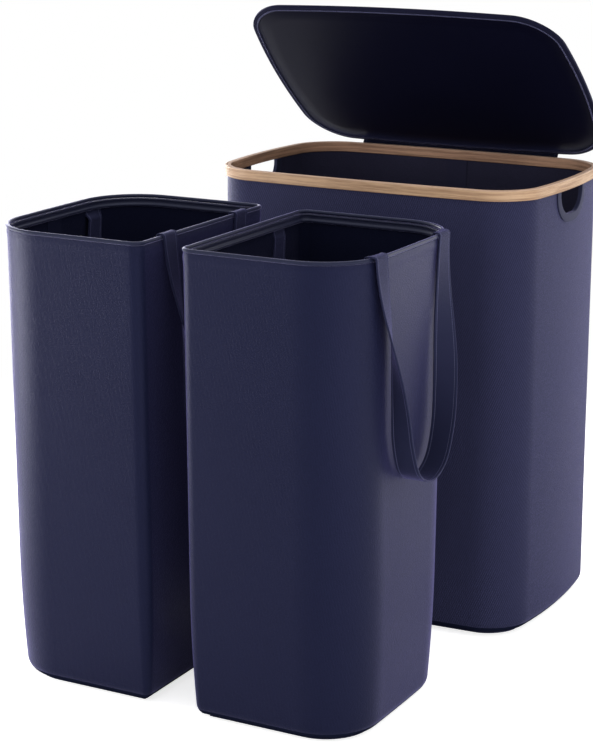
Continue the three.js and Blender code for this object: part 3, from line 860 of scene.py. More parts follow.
@dataclass(frozen=True)
class Plan:
    """A rounded rectangle with bulging sides; corners and sides run from the front left one anticlockwise."""

    width: float
    depth: float
    corners: tuple[float, float, float, float]
    bow_left: float = 0.0
    bow_right: float = 0.0
    bow_front: float = 0.0
    bow_back: float = 0.0
    centre: Pair = (0.0, 0.0)
    corner_steps: int = 14
    side_steps: int = 22
    least: float = 0.001

    def halves(self, inset_x: Any, inset_y: Any) -> tuple[Any, Any]:
        """Half width and half depth without the bulges, drawn in by the insets."""
        return (
            (self.width - self.bow_left - self.bow_right) / 2 - inset_x,
            (self.depth - self.bow_front - self.bow_back) / 2 - inset_y,
        )

    def bowed(self, x: np.ndarray, y: np.ndarray, half_x: Any, half_y: Any) -> tuple[np.ndarray, np.ndarray]:
        """Bulges the sides: x + a * bow * (1 - b^2), with a = x / half_x and b = y / half_y; y alike.

        Args:
            x: X from the middle.
            y: Y from the middle.
            half_x: half width at each point.
            half_y: half depth at each point.

        Returns:
            X and Y in the part's own frame.
        """
        a, b = x / half_x, y / half_y
        out_x = x + a * np.where(a > 0, self.bow_right, self.bow_left) * (1 - b**2)
        out_y = y + b * np.where(b > 0, self.bow_back, self.bow_front) * (1 - a**2)
        shift_x = (self.bow_left - self.bow_right) / 2 + self.centre[0]
        shift_y = (self.bow_front - self.bow_back) / 2 + self.centre[1]
        return out_x + shift_x, out_y + shift_y

    def loops(self, inset_x: np.ndarray, inset_y: np.ndarray) -> np.ndarray:
        """Outlines drawn in by insets: four arcs joined by straight runs, then bulged.

        Args:
            inset_x: inset along X of each outline.
            inset_y: inset along Y of each outline.

        Returns:
            Points of shape (outlines, points, 2).
        """
        ix, iy = (np.atleast_1d(inset).astype(float)[:, None] for inset in (inset_x, inset_y))
        hx, hy = self.halves(ix, iy)
        arcs = []
        for k, (sx, sy) in enumerate(((-1, -1), (1, -1), (1, 1), (-1, 1))):
            radius = np.maximum(self.corners[k] - np.minimum(ix, iy), self.least)
            radius = np.minimum(radius, np.minimum(hx, hy))
            angle = math.pi * (1 + k / 2 + np.linspace(0, 0.5, self.corner_steps + 1))[None, :]
            arcs.append(arc((sx * (hx - radius), sy * (hy - radius)), radius, angle))
        t = np.linspace(0, 1, self.side_steps + 1)[1:-1][None, :, None]
        runs = [arcs[k][:, -1:] * (1 - t) + arcs[(k + 1) % 4][:, :1] * t for k in range(4)]
        points = np.concatenate([part for pair in zip(arcs, runs) for part in pair], 1)
        return stacked(*self.bowed(points[..., 0], points[..., 1], hx, hy))

    def reach(self, inset: float, side: Side, along: np.ndarray) -> np.ndarray:
        """How far the outline reaches along X at given places along Y.

        Args:
            inset: how far the outline is drawn in.
            side: left or right.
            along: Y from the plan's own middle.

        Returns:
            X of the outline at each place.
        """
        loop = self.loops(inset, inset)[0] - np.array(self.centre)
        near = loop[loop[:, 0] * side.value > 0]
        near = near[np.argsort(near[:, 1])]
        return np.interp(along, near[:, 1], near[:, 0]) + self.centre[0]

    def back(self, inset: float, x: np.ndarray) -> np.ndarray:
        """Y of the straight-run part of the back side at given X."""
        hx, hy = self.halves(inset, inset)
        return self.bowed(x - self.centre[0], np.full_like(x, hy), hx, hy)[1]

    def around(self, section: np.ndarray) -> np.ndarray:
        """Carries a section round the outline.

        Args:
            section: points of [inset, height] or [inset along X, inset along Y, height].

        Returns:
            A grid of shape (section points, outline points, 3).
        """
        flat = self.loops(section[:, 0], section[:, -2])
        return stacked(flat[..., 0], flat[..., 1], section[:, -1:])


@dataclass(frozen=True)
class Skin:
    """One closed piece as a grid of points: rows along its section and columns round it."""

    name: str
    grid: np.ndarray
    finishes: tuple[Finish, ...]
    close_rows: bool = False
    close_columns: bool = True
    uv: np.ndarray | None = None
    row_finish: np.ndarray | None = None
    flat_ends: bool = False
    sharp: float = 40.0

    def lengths(self) -> np.ndarray:
        """UV in metres: u is a middle row's length so far and v the mean length so far of the columns.

        Returns:
            Shape (rows + closing, columns + closing, 2).
        """
        g = self.grid
        rows = np.concatenate([g, g[:1]]) if self.close_rows else g
        full = np.concatenate([rows, rows[:, :1]], 1) if self.close_columns else rows
        steps = np.linalg.norm(np.diff(full, axis=0), axis=2).mean(1)
        return stacked(run(full[len(full) // 3])[None, :], np.concatenate([[0], np.cumsum(steps)])[:, None])

    def build(self) -> bpy.types.Object:
        """Makes the mesh: quads between rows and columns, n-gon ends, faces turned outwards.

        Returns:
            The object, at the origin, with its UV and finishes.
        """
        m, n = self.grid.shape[:2]
        i, j, quads = lattice(m, n, m if self.close_rows else m - 1, n if self.close_columns else n - 1)
        uv = self.lengths() if self.uv is None else self.uv
        corners = np.stack([uv[i, j], uv[i, j + 1], uv[i + 1, j + 1], uv[i + 1, j]], 1)
        points = self.grid.reshape(-1, 3)
        ends = []
        if not self.close_rows and self.close_columns:
            ends = [np.arange(n)[::-1], (m - 1) * n + np.arange(n)]
        p = points[quads]
        volume = np.einsum("ij,ij->", p[:, 0], np.cross(p[:, 1], p[:, 2]) + np.cross(p[:, 2], p[:, 3]))
        for end in ends:
            q = points[end]
            volume += np.einsum("j,ij->", q[0], np.cross(q[1:-1], q[2:]))
        if volume < 0:
            quads, corners = quads[:, ::-1], corners[:, ::-1]
            ends = [end[::-1] for end in ends]
        mesh = bpy.data.meshes.new(self.name)
        mesh.from_pydata(points.tolist(), [], quads.tolist() + [end.tolist() for end in ends])
        flat = [corners.reshape(-1, 2)]
        flat += [uv[end // n, end % n] if self.flat_ends else points[end][:, :2] for end in ends]
        layer = mesh.uv_layers.new(name="metres")
        layer.uv.foreach_set("vector", np.concatenate(flat).astype(np.float32).ravel())
        if self.row_finish is not None:
            which = np.concatenate([self.row_finish[i], np.zeros(len(ends), int)]).astype(np.int32)
            mesh.polygons.foreach_set("material_index", which)
        for finish in self.finishes:
            mesh.materials.append(finish.material())
        mesh.shade_smooth()
        mesh.set_sharp_from_angle(angle=math.radians(self.sharp))
        return linked(self.name, mesh)

    def settle(self, body: Body, slot: Slot, *nodes: str) -> bpy.types.Object:
        """Builds the piece and puts it on its body in place of CAD nodes."""
        return settle(self.build(), body, slot, *nodes)


def linked(name: str, data: bpy.types.ID) -> bpy.types.Object:
    """Links a mesh, a lamp or a camera to the scene as an object.

    Args:
        name: the object's name.
        data: what it shows.

    Returns:
        The object.
    """
    obj = bpy.data.objects.new(name, data)
    bpy.context.scene.collection.objects.link(obj)
    return obj


def settle(obj: bpy.types.Object, body: Body, slot: Slot, *nodes: str) -> bpy.types.Object:
    """Puts a piece on its body in place of CAD nodes.

    Args:
        obj: the piece.
        body: what it rides on.
        slot: the record's material slot; not used.
        nodes: the CAD nodes it stands for.

    Returns:
        The piece.
    """
    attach(obj, body.value)
    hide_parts(*nodes)
    log.info("%s: %d faces on %s", obj.name, len(obj.data.polygons), body.value)
    return obj


def dress_node(node: str, finish: Finish) -> None:
    """Gives a CAD node that stays in view its finish.

    Args:
        node: the node's name.
        finish: what it gets.
    """
    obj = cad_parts[node]
    obj.data.materials.clear()
    obj.data.materials.append(finish.material())
    log.info("%s: CAD node in %s", node, finish.name)


@dataclass(frozen=True)
class Tub:
    """Rule of a tub's wall: how far the sheet lies inside the rim's outline at any height."""

    plan: Plan
    top: float
    inset: float
    thickness: float
    taper: float
    fillet: float
    floor: float
    flange: float
    curve: float = 0.0
    curve_from: float = 0.020
    upper: float = 0.03
    # share of the fillet that gets the painted shade at the foot
    foot_shade_share: float = 0.55
    panel_lap: float = 0.003
    panel_soft_share: float = 0.35
    panel_step_share: float = 0.3
    panel_middle: float = 0.02
    tape_gap: float = 0.0003
    tape_rise: float = 0.0012
    tape_edge_share: float = 0.6

    UPPER_ROWS: ClassVar[int] = 19
    WALL_ROWS: ClassVar[int] = 45
    TURN_ROWS: ClassVar[int] = 11
    TAPE_ROWS: ClassVar[int] = 40
    TAPE_COLUMNS: ClassVar[int] = 13

    def insets(self, offset: Any, height: np.ndarray) -> tuple[np.ndarray, np.ndarray]:
        """Insets along X and Y: inset + offset + curve * low^2, and along Y the taper too.

        Args:
            offset: depth below the outer face.
            height: heights above the floor.

        Returns:
            The inset along X and the inset along Y.
        """
        low = np.maximum(0, 1 - height / self.curve_from)
        drawn = self.inset + offset + self.curve * low**2
        return drawn, drawn + self.taper * (1 - height / self.top)

    def face(self, offset: float, swell: Swell | None = None) -> np.ndarray:
        """Section of one face: down the wall, round the lower edge and in to the turned-in edge.

        Args:
            offset: depth below the outer face.
            swell: how far the wall stands out of its rule at a height.

        Returns:
            Points of [inset along X, inset along Y, height].
        """
        start, fine = self.floor + self.fillet, self.top - self.upper
        upper = np.linspace(self.top, fine, self.UPPER_ROWS)[:-1]
        height = np.concatenate([upper, np.linspace(fine, start, self.WALL_ROWS)])
        ix, iy = self.insets(offset - (swell(height) if swell else 0.0), height)
        radius = self.fillet - offset
        angle = np.linspace(0, math.pi / 2, self.TURN_ROWS)[1:]
        drawn = radius * (1 - np.cos(angle))
        turn = stacked(ix[-1] + drawn, iy[-1] + drawn, start - radius * np.sin(angle))
        last = turn[-1:] + np.array([self.flange, self.flange, 0])
        return np.concatenate([stacked(ix, iy, height), turn, last])

    def wall(self, name: str, outer: Finish, inner: Finish, swell: Swell | None = None) -> Skin:
        """The wrapped sheet as one closed shell with an outer and an inner finish, and painted shade along
        its lower edge.

        Args:
            name: the piece's name.
            outer: finish of the outer face.
            inner: finish of the inner face.
            swell: how far the wall stands out of its rule at a height.

        Returns:
            The shell.
        """
        near, far = self.face(0.0, swell), self.face(self.thickness, swell)[::-1]
        # painted shade: the rows round the lower edge take the dull, dark foot finish
        foot = near[:, 2] < self.floor + self.foot_shade_share * self.fillet
        which = np.concatenate([np.where(foot, 2, 0), np.ones(len(far), int)])
        grid = self.plan.around(np.concatenate([near, far]))
        return Skin(name, grid, (outer, inner, FOOT_SHADE_SHEET), close_rows=True, row_finish=which, sharp=35)

    def panel(self, name: str, thickness: float, finish: Finish) -> Skin:
        """The bottom panel under the turned-in edge, with softened edges.

        Args:
            name: the piece's name.
            thickness: the panel's thickness.
            finish: its finish.

        Returns:
            The panel.
        """
        ix, iy, _ = self.face(0.0)[-2]
        soft, middle = thickness * self.panel_soft_share, self.panel_middle
        step = soft * self.panel_step_share
        rise = [(middle, 0.0), (soft, 0.0), (step, step), (0.0, soft), (0.0, thickness - soft)]
        rise += [(step, thickness - step), (soft, thickness), (middle, thickness)]
        rows = np.array([[ix - self.panel_lap + d, iy - self.panel_lap + d, z] for d, z in rise])
        return Skin(name, self.plan.around(rows), (finish,))

    def tape(self, name: str, side: Pair, width: float, high: float, low: float, finish: Finish) -> Skin:
        """A strip of cloth tape up the middle of one inner side, a little arched across.

        Args:
            name: the piece's name.
            side: unit direction from the plan's middle to that side.
            width: width of the tape.
            high: its upper end.
            low: its lower end.
            finish: its finish.

        Returns:
            The strip.
        """
        height = np.linspace(high, low, self.TAPE_ROWS)
        across = np.linspace(-width / 2, width / 2, self.TAPE_COLUMNS)
        ring = np.concatenate([across, across[::-1]])
        crown = self.tape_edge_share + (1 - self.tape_edge_share) * np.cos(across / width * math.pi)
        near = self.thickness + self.tape_gap
        depth = near + np.concatenate([0 * crown, (self.tape_rise - self.tape_gap) * crown])
        ix, iy = (inset[:, None] + depth for inset in self.insets(0.0, height))
        hx, hy = self.plan.halves(ix, iy)
        place = (side[0] * hx, ring) if side[0] else (ring, side[1] * hy)
        grid = stacked(*self.plan.bowed(*place, hx, hy), height[:, None])
        uv = stacked(np.append(ring, ring[0]) + width / 2, height[:, None])
        return Skin(name, grid, (finish,), uv=uv, sharp=50)


# Hamper

BOWS = {"bow_left": 0.015, "bow_right": 0.015, "bow_front": 0.008, "bow_back": 0.008}
FINE = {"corner_steps": 18, "side_steps": 40}
RIM_PLAN = Plan(0.500, 0.341, (0.058,) * 4, **BOWS, **FINE)
HAMPER_TUB = Tub(
    RIM_PLAN, top=0.6337, inset=0.0029, thickness=0.0024,
    taper=0.002, fillet=0.020, floor=0.0028, flange=0.014
)


@dataclass(frozen=True)
class HandHole:
    """A U-shaped hand hole under the rim, edged with a moulded trim."""

    half_width: float = 0.040
    bottom: float = 0.587
    radius: float = 0.030
    wall_top: float = 0.623
    trim_top: float = 0.6207
    clearance: float = 0.0019
    flange: float = 0.012
    flange_thickness: float = 0.0015
    web: float = 0.0016
    gap: float = 0.0003
    cut_from: float = 0.225
    cut_to: float = 0.262
    edge_round: float = 0.0012
    lip_round: float = 0.0007
    inner_round: float = 0.0003

    def path(self, top: float) -> tuple[np.ndarray, np.ndarray]:
        """The hole's edge from one top end round the bottom to the other.

        Args:
            top: height of both ends.

        Returns:
            Points of [y, z] and the outward direction at each.
        """
        low, inner = self.bottom + self.radius, self.half_width - self.radius
        angle = np.linspace(math.pi, 1.5 * math.pi, 17)
        left = stacked(-self.half_width, np.linspace(top, low, 6)[:-1])
        flat = stacked(np.linspace(-inner, 0, 5)[1:], self.bottom)
        edge = np.concatenate([left, arc((-inner, low), self.radius, angle), flat])
        out = np.concatenate([0 * left + [-1, 0], arc((0, 0), 1.0, angle), 0 * flat + [0, -1]])
        mirror = np.array([-1.0, 1.0])
        return np.concatenate([edge, edge[-2::-1] * mirror]), np.concatenate([out, out[-2::-1] * mirror])

    def wall_x(self, y: np.ndarray, depth: np.ndarray, side: Side) -> np.ndarray:
        """X of the bulging short side at y, that deep below its outer face."""
        hx, hy = RIM_PLAN.halves(HAMPER_TUB.inset + depth, HAMPER_TUB.inset + depth)
        return side.value * (hx + RIM_PLAN.bow_right * (1 - (y / hy) ** 2))

    def trim(self, side: Side) -> Skin:
        """The moulded channel: a section of [outward from the edge, depth] carried along the hole's edge.

        Args:
            side: left or right.

        Returns:
            The trim.
        """
        outer = -self.gap - self.flange_thickness
        inner = HAMPER_TUB.thickness + self.gap + self.flange_thickness
        f, w, g, t = self.flange, self.web, self.gap, HAMPER_TUB.thickness
        corners = [(0, outer), (f, outer), (f, -g), (w, -g), (w, t + g), (f, t + g), (f, inner), (0, inner)]
        rounds = [self.edge_round, self.lip_round, self.inner_round, self.inner_round]
        section = rounded(corners, rounds + rounds[::-1])
        edge, out = self.path(self.trim_top)
        yz = edge[:, None] + out[:, None] * section[None, :, :1]
        y, z = np.moveaxis(yz, -1, 0)
        grid = stacked(self.wall_x(y, section[None, :, 1], side), y, z)
        return Skin(f"handhole_edging_{side.name.lower()}", grid, (TRIM,), sharp=30)

    def cutter(self, side: Side) -> bpy.types.Object:
        """A prism that cuts the hole through the sheet.

        Args:
            side: left or right.

        Returns:
            The prism, to be removed after its use.
        """
        edge, out = self.path(self.wall_top)
        y, z = (edge + out * self.clearance).T
        x = side.value * np.array([[self.cut_from], [self.cut_to]])
        return Skin(f"cutter_{side.name.lower()}", stacked(x, y, z), (TRIM,)).build()


@dataclass
class Hamper:
    """The standing shell: wrapped sheet, bottom, wood rim and hand-hole trims."""

    tub: Tub = HAMPER_TUB
    hole: HandHole = field(default_factory=HandHole)
    rim: float = 0.636
    band_low: float = 0.621
    outer_band: float = 0.0026
    inner_start: float = 0.0056
    cap_start: float = 0.0029
    band_total: float = 0.0077
    cap: float = 0.002
    base_thickness: float = 0.0025
    tape_width: float = 0.032
    tape_high: float = 0.6207
    tape_low: float = 0.0228
    edge_round: float = 0.0011
    inner_round: float = 0.0004
    cap_round: float = 0.0005
    shelf_round: float = 0.0002
    wave: float = 0.00045
    wave_foot: Pair = (0.02, 0.12)
    wave_rim: Pair = (0.50, 0.565)

    def waved(self, grid: np.ndarray) -> np.ndarray:
        """Lets the stiff sheet undulate a little between its rim and its lower edge.

        The sheet moves out by wave * sin(5 turn + 1 + 2 z) * sin(5 z + 0.6), where turn is the angle round
        the middle, and this fades out near the rim and the foot.

        Args:
            grid: points of the sheet.

        Returns:
            The moved points.
        """
        z = grid[..., 2]
        outward = unit(grid[..., :2] - np.array(self.tub.plan.centre))
        turn = np.arctan2(outward[..., 1], outward[..., 0])
        fade = smooth(z, *self.wave_foot) * (1 - smooth(z, *self.wave_rim))
        amount = self.wave * np.sin(turn * 5 + 1.0 + 2.0 * z) * np.sin(5.0 * z + 0.6) * fade
        moved = grid.copy()
        moved[..., :2] += outward * amount[..., None]
        return moved

    def wall(self) -> None:
        """The wrapped sheet with both hand holes cut out of it."""
        shell = self.tub.wall("wrapped_sheet", HAMPER_SHEET, HAMPER_INNER)
        whole = replace(shell, grid=self.waved(shell.grid)).build()
        cutters = [self.hole.cutter(side) for side in Side]
        for cutter in cutters:
            modifier = whole.modifiers.new(cutter.name, "BOOLEAN")
            modifier.object, modifier.operation, modifier.solver = cutter, "DIFFERENCE", "EXACT"
        bpy.context.view_layer.update()
        cut = bpy.data.meshes.new_from_object(whole.evaluated_get(bpy.context.evaluated_depsgraph_get()))
        whole.modifiers.clear()
        whole.data = cut
        for cutter in cutters:
            bpy.data.objects.remove(cutter)
        settle(whole, Body.HAMPER, Slot.SHEET, "hamper_wall")

    def band(self, name: str, corners: Sequence[Pair], radii: Sequence[float], finish: Finish) -> Skin:
        """One bent-wood band, with softened edges.

        Args:
            name: the piece's name.
            corners: its section's corners, [inset, height].
            radii: how far from each corner its round starts.
            finish: its finish.

        Returns:
            The band.
        """
        section = rounded(corners, radii, 4)
        return Skin(name, self.tub.plan.around(section), (finish,), close_rows=True, sharp=60)

    def bands(self) -> None:
        """The rim's two bent-wood bands; the inner one is rebated over the sheet's top edge."""
        top, low, total, shelf = self.rim, self.band_low, self.band_total, self.rim - self.cap
        outer, inner, cap = self.outer_band, self.inner_start, self.cap_start
        edges = [self.edge_round, self.edge_round]
        corners = [(outer, top), (outer, low), (0, low), (0, top)]
        band = self.band("rim_strip_outer", corners, [self.cap_round, self.inner_round, *edges], OUTER_WOOD)
        band.settle(Body.HAMPER, Slot.WOOD, "rim_band_outer")
        corners = [(total, top), (total, low), (inner, low), (inner, shelf), (cap, shelf), (cap, top)]
        rounds = [*edges, self.inner_round, self.shelf_round, self.shelf_round, self.cap_round]
        band = self.band("rim_strip_inner", corners, rounds, INNER_WOOD)
        band.settle(Body.HAMPER, Slot.WOOD, "rim_band_inner")

    def build(self) -> None:
        """Builds and dresses every piece of the shell."""
        self.wall()
        self.bands()
        for side in Side:
            self.hole.trim(side).settle(Body.HAMPER, Slot.TRIM, f"handhole_trim_{side.name.lower()}")
        panel = self.tub.panel("bottom_panel", self.base_thickness, HAMPER_SHEET)
        panel.settle(Body.HAMPER, Slot.SHEET, "hamper_base")
        tape = self.tub.tape("back_tape", (0, 1), self.tape_width, self.tape_high, self.tape_low, HAMPER_TAPE)
        tape.settle(Body.HAMPER, Slot.INNER_SHEET, "wall_seam_tape")
        dress_node("hamper_base_board", BOARD)


# Lid

HINGE = np.array([0.0, 0.1714, 0.635])
LID_PLAN = Plan(0.498, 0.336, (0.056,) * 4, **BOWS, **FINE)


@dataclass
class Lid:
    """The board lid: wrapped cover, piping and lining, drawn closed and turned open about the hinge line."""

    plan: Plan = LID_PLAN
    opened: float = math.radians(42)
    closed: Point = (0.0, 0.0025, 0.6375)
    thickness: float = 0.0052
    skin: float = 0.0009
    hem: float = 0.0054
    piping: float = 0.001
    gap: float = 0.0003
    upper_round: float = 0.0016
    lower_round: float = 0.0009
    edge_in: float = 0.008
    middle_in: float = 0.03
    lining_step: float = 0.0004
    piping_drop: float = 0.00015

    TOP_ROWS: ClassVar[int] = 4

    def turned(self, grid: np.ndarray) -> np.ndarray:
        """Moves points from the closed lid's own frame to where they are with the lid open.

        Args:
            grid: points of the closed lid.

        Returns:
            The points turned about the hinge line.
        """
        x, y, z = np.moveaxis(grid + np.array(self.closed) - HINGE, -1, 0)
        c, s = math.cos(self.opened), math.sin(self.opened)
        return stacked(x, y * c + z * s, z * c - y * s) + HINGE

    def around(self, section: Sequence[Pair]) -> np.ndarray:
        """Carries a section of [inset, height] round the lid and turns it open."""
        return self.turned(self.plan.around(np.array(section, float)))

    def cover(self) -> None:
        """The cover: top, rounded edge and turned-in hem, a thin skin round the board; the edge and the hem
        are painted darker as shade.
        """
        t, s, h = self.thickness, self.skin, self.hem
        edge = np.linspace(0, math.pi / 2, 7)
        upper = stacked(self.upper_round * (1 - np.sin(edge)), t - self.upper_round * (1 - np.cos(edge)))
        lower = self.lower_round * (1 - arc((0, 0), 1.0, edge))
        inside = [(h, 0.0), (h, s), (s, s), (s, t - s), (self.middle_in, t - s)]
        section = np.concatenate([[(self.middle_in, t), (self.edge_in, t)], upper, lower, inside])
        flat = self.plan.around(section)[..., :2]
        # painted shade: from the rounded edge on, the cover takes the darker copy of its sheet
        cover = Skin(
            "lid_wrap", self.around(section), (LID_SHEET, LID_HEM_SHADE), uv=np.concatenate([flat, flat[:, :1]], 1),
            row_finish=(np.arange(len(section)) >= self.TOP_ROWS).astype(int), flat_ends=True, sharp=50,
        )
        cover.settle(Body.LID, Slot.SHEET, "lid_cover")

    def lining(self, start: float) -> None:
        """The felt under the board.

        Args:
            start: how far in from the edge it starts.
        """
        top, step, middle = self.skin, self.lining_step, self.middle_in
        section = [(middle, 0.0), (start + step, 0.0), (start, step), (start, top - step / 2)]
        section += [(start + 0.75 * step, top), (middle, top)]
        felt = Skin("lid_felt", self.around(section), (LINING,), sharp=60)
        felt.settle(Body.LID, Slot.LINING, "lid_lining")

    def build(self) -> None:
        """Builds and dresses every piece of the lid."""
        self.cover()
        inset = self.hem + self.gap + self.piping
        cord = arc((inset, -self.piping_drop), self.piping, circle(12))
        piece = Skin("lid_edge_cord", self.around(cord), (PIPING,), close_rows=True, sharp=80)
        piece.settle(Body.LID, Slot.WEBBING, "lid_piping")
        self.lining(inset + self.piping + self.gap)
        dress_node("lid_board", BOARD)


@dataclass
class HingeCloth:
    """One strip of cloth from the back of the rim to the top of the lid, which bends at the hinge line."""

    lid: Lid
    length: float = 0.320
    thickness: float = 0.0009
    foot: float = 0.595
    top: float = 0.634
    on_lid: float = 0.020
    on_sheet: float = 0.0021
    on_edge: float = -0.0008
    over_lid: float = 0.006

    def low(self) -> list[Pair]:
        """Stations of [inset, height] up the hamper's sheet and over the wood band."""
        sheet = [(self.on_sheet, self.foot), (self.on_sheet, 0.606), (self.on_sheet, 0.6165), (0.0006, 0.619)]
        return sheet + [(self.on_edge, 0.6208), (self.on_edge, 0.627), (self.on_edge, self.top)]

    def high(self) -> list[Pair]:
        """Stations of [inset, height] up the closed lid's edge and onto its top.

        Returns:
            The stations, from the hinge line on.
        """
        edge = [(self.on_edge, -0.0013), (self.on_edge, 0.002), (self.on_edge, 0.0048)]
        turn = [(-0.0005, 0.0056), (0.0002, 0.006), (0.0012, 0.0061)]
        return edge + turn + [(0.010, self.over_lid), (self.on_lid, self.over_lid)]

    def course(self, x: np.ndarray) -> np.ndarray:
        """Middle line of the cloth at each x: up the sheet and the band, over the fold, round the lid's edge.

        The fold is a Hermite curve from the band's top to the lid's edge that leaves and arrives along both.

        Args:
            x: places along the hinge line.

        Returns:
            Points of shape (places, stations, 3).
        """
        wall = np.stack([stacked(x, RIM_PLAN.back(inset, x), z) for inset, z in self.low()], 1)
        closed = np.stack([stacked(x, self.lid.plan.back(inset, x), z) for inset, z in self.high()], 1)
        lid = self.lid.turned(closed)
        a, b = wall[:, -1:], lid[:, :1]
        span = np.linalg.norm(b - a, axis=-1, keepdims=True)
        leave, arrive = np.array([0, 0, 1.0]) * span, unit(lid[:, 1:2] - b) * span
        t = np.linspace(0, 1, 8)[1:-1][None, :, None]
        fold = (2 * t**3 - 3 * t**2 + 1) * a + (t**3 - 2 * t**2 + t) * leave
        fold = fold + (3 * t**2 - 2 * t**3) * b + (t**3 - t**2) * arrive
        return np.concatenate([wall, fold, lid], 1)

    def build(self) -> None:
        """Thickens the middle line both ways and closes the strip."""
        x = np.linspace(-self.length / 2, self.length / 2, 65)
        line = self.course(x)
        _, y, z = np.moveaxis(unit(np.gradient(line, axis=1)), -1, 0)
        out = stacked(0.0, z, -y) * self.thickness / 2
        grid = np.concatenate([line + out, (line - out)[:, ::-1]], 1)
        width = run(line[len(x) // 2])
        along = np.concatenate([width, width[::-1], width[:1]])
        uv = stacked(along, (x + self.length / 2)[:, None])
        cloth = Skin("hinge_strip", grid, (HINGE_CLOTH,), uv=uv, sharp=60).build()
        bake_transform(cloth)
        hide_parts("hinge_leaf_body", "hinge_leaf_lid")
        log.info("%s: %d faces", cloth.name, len(cloth.data.polygons))


# Carry straps


@dataclass(frozen=True)
class Webbing:
    """A flat strap's section: thicker hems along both edges and round ends."""

    width: float = 0.031
    thickness: float = 0.0018
    hem: float = 0.0033
    swell: float = 0.0003
    hem_from: float = 0.0006
    hem_to: float = 0.0004
    end: float = 0.0009
    least_share: float = 0.02

    def section(self) -> tuple[np.ndarray, np.ndarray]:
        """Places across the strap and the height above its middle, once round.

        Returns:
            Across and height, each of the section's point count.
        """
        half, flat = self.width / 2, self.width / 2 - self.end
        end = half - self.end * (1 - np.sin(np.linspace(math.pi / 2, 0, 5)))
        inner = np.linspace(0, flat, 15)
        s = np.concatenate([-end, -inner, inner, end[1:]])
        s = np.unique(np.round(s, 7) + 0.0)
        lift = smooth(np.abs(s), half - self.hem - self.hem_from, half - self.hem + self.hem_to)
        near = np.clip((np.abs(s) - flat) / self.end, 0, 1)
        full = np.sqrt(np.maximum(1 - near**2, self.least_share**2))
        h = (self.thickness / 2 + self.swell * lift) * full
        return np.concatenate([s, s[::-1]]), np.concatenate([h, -h[::-1]])


@dataclass(frozen=True)
class StrapLoop:
    """A loop of webbing that lies flat at its turning line and hangs edge-on lower down."""

    turn: Point
    clear: float
    drop: float = 0.296
    spread: float = 0.180
    stand_off: float = 0.002
    gap: float = 0.0017
    edge_share: float = 0.95
    steps: int = 150
    web: Webbing = Webbing()

    SHAPE: ClassVar[tuple[Pair, ...]] = (
        (1, 0), (0.93, 0.16), (0.82, 0.4), (0.735, 0.64), (0.64, 0.82), (0.42, 0.95), (0, 1)
    )

    def curve(self) -> np.ndarray:
        """The loop seen flat: a centripetal Catmull-Rom curve through shares of half spread and drop.

        Returns:
            Points of [y, z] at even lengths.
        """
        leg = np.array(self.SHAPE, float) * [self.spread / 2, -self.drop]
        knots = np.concatenate([leg[:-1] * [-1, 1], leg[::-1]])
        knots = np.concatenate([[2 * knots[0] - knots[1]], knots, [2 * knots[-1] - knots[-2]]])
        p0, p1, p2, p3 = (knots[k : len(knots) - 3 + k][:, None] for k in range(4))
        spans = ((p0, p1), (p1, p2), (p2, p3))
        d0, d1, d2 = (np.sqrt(np.linalg.norm(b - a, axis=-1, keepdims=True)) for a, b in spans)
        m1 = ((p1 - p0) / d0 - (p2 - p0) / (d0 + d1) + (p2 - p1) / d1) * d1
        m2 = ((p2 - p1) / d1 - (p3 - p1) / (d1 + d2) + (p3 - p2) / d2) * d1
        t = np.linspace(0, 1, 60)[:-1][None, :, None]
        points = p1 + m1 * t + (3 * (p2 - p1) - 2 * m1 - m2) * t**2 + (2 * (p1 - p2) + m1 + m2) * t**3
        points = np.concatenate([points.reshape(-1, 2), knots[-2:-1]])
        length = run(points)
        even = np.linspace(0, length[-1], self.steps + 1)
        return stacked(np.interp(even, length, points[:, 0]), np.interp(even, length, points[:, 1]))

    def frames(self) -> tuple[np.ndarray, np.ndarray, np.ndarray]:
        """Middle line, direction across and direction of the face, from the turning line round and back.

        The strap turns by 90 degrees * smoothstep(down) and moves out by the sine of that turn.

        Returns:
            Three arrays of shape (stations, 3).
        """
        flat = self.curve()
        down = -flat[:, 1] / self.drop
        turn = math.pi / 2 * smooth(down, 0, self.edge_share)
        out = (self.clear + self.stand_off + self.web.width / 2) * np.sin(turn)
        centre = stacked(out, flat[:, 0], -self.gap - (self.drop - self.gap) * down)
        tangent = unit(np.gradient(centre, axis=0))
        sideways = np.array([1.0, 0, 0])
        inward = unit(np.cross(sideways, tangent))
        face = sideways * np.cos(turn)[:, None] + inward * np.sin(turn)[:, None]
        face = unit(face - tangent * np.sum(face * tangent, 1, keepdims=True))
        return centre + np.array(self.turn), np.cross(tangent, face), face


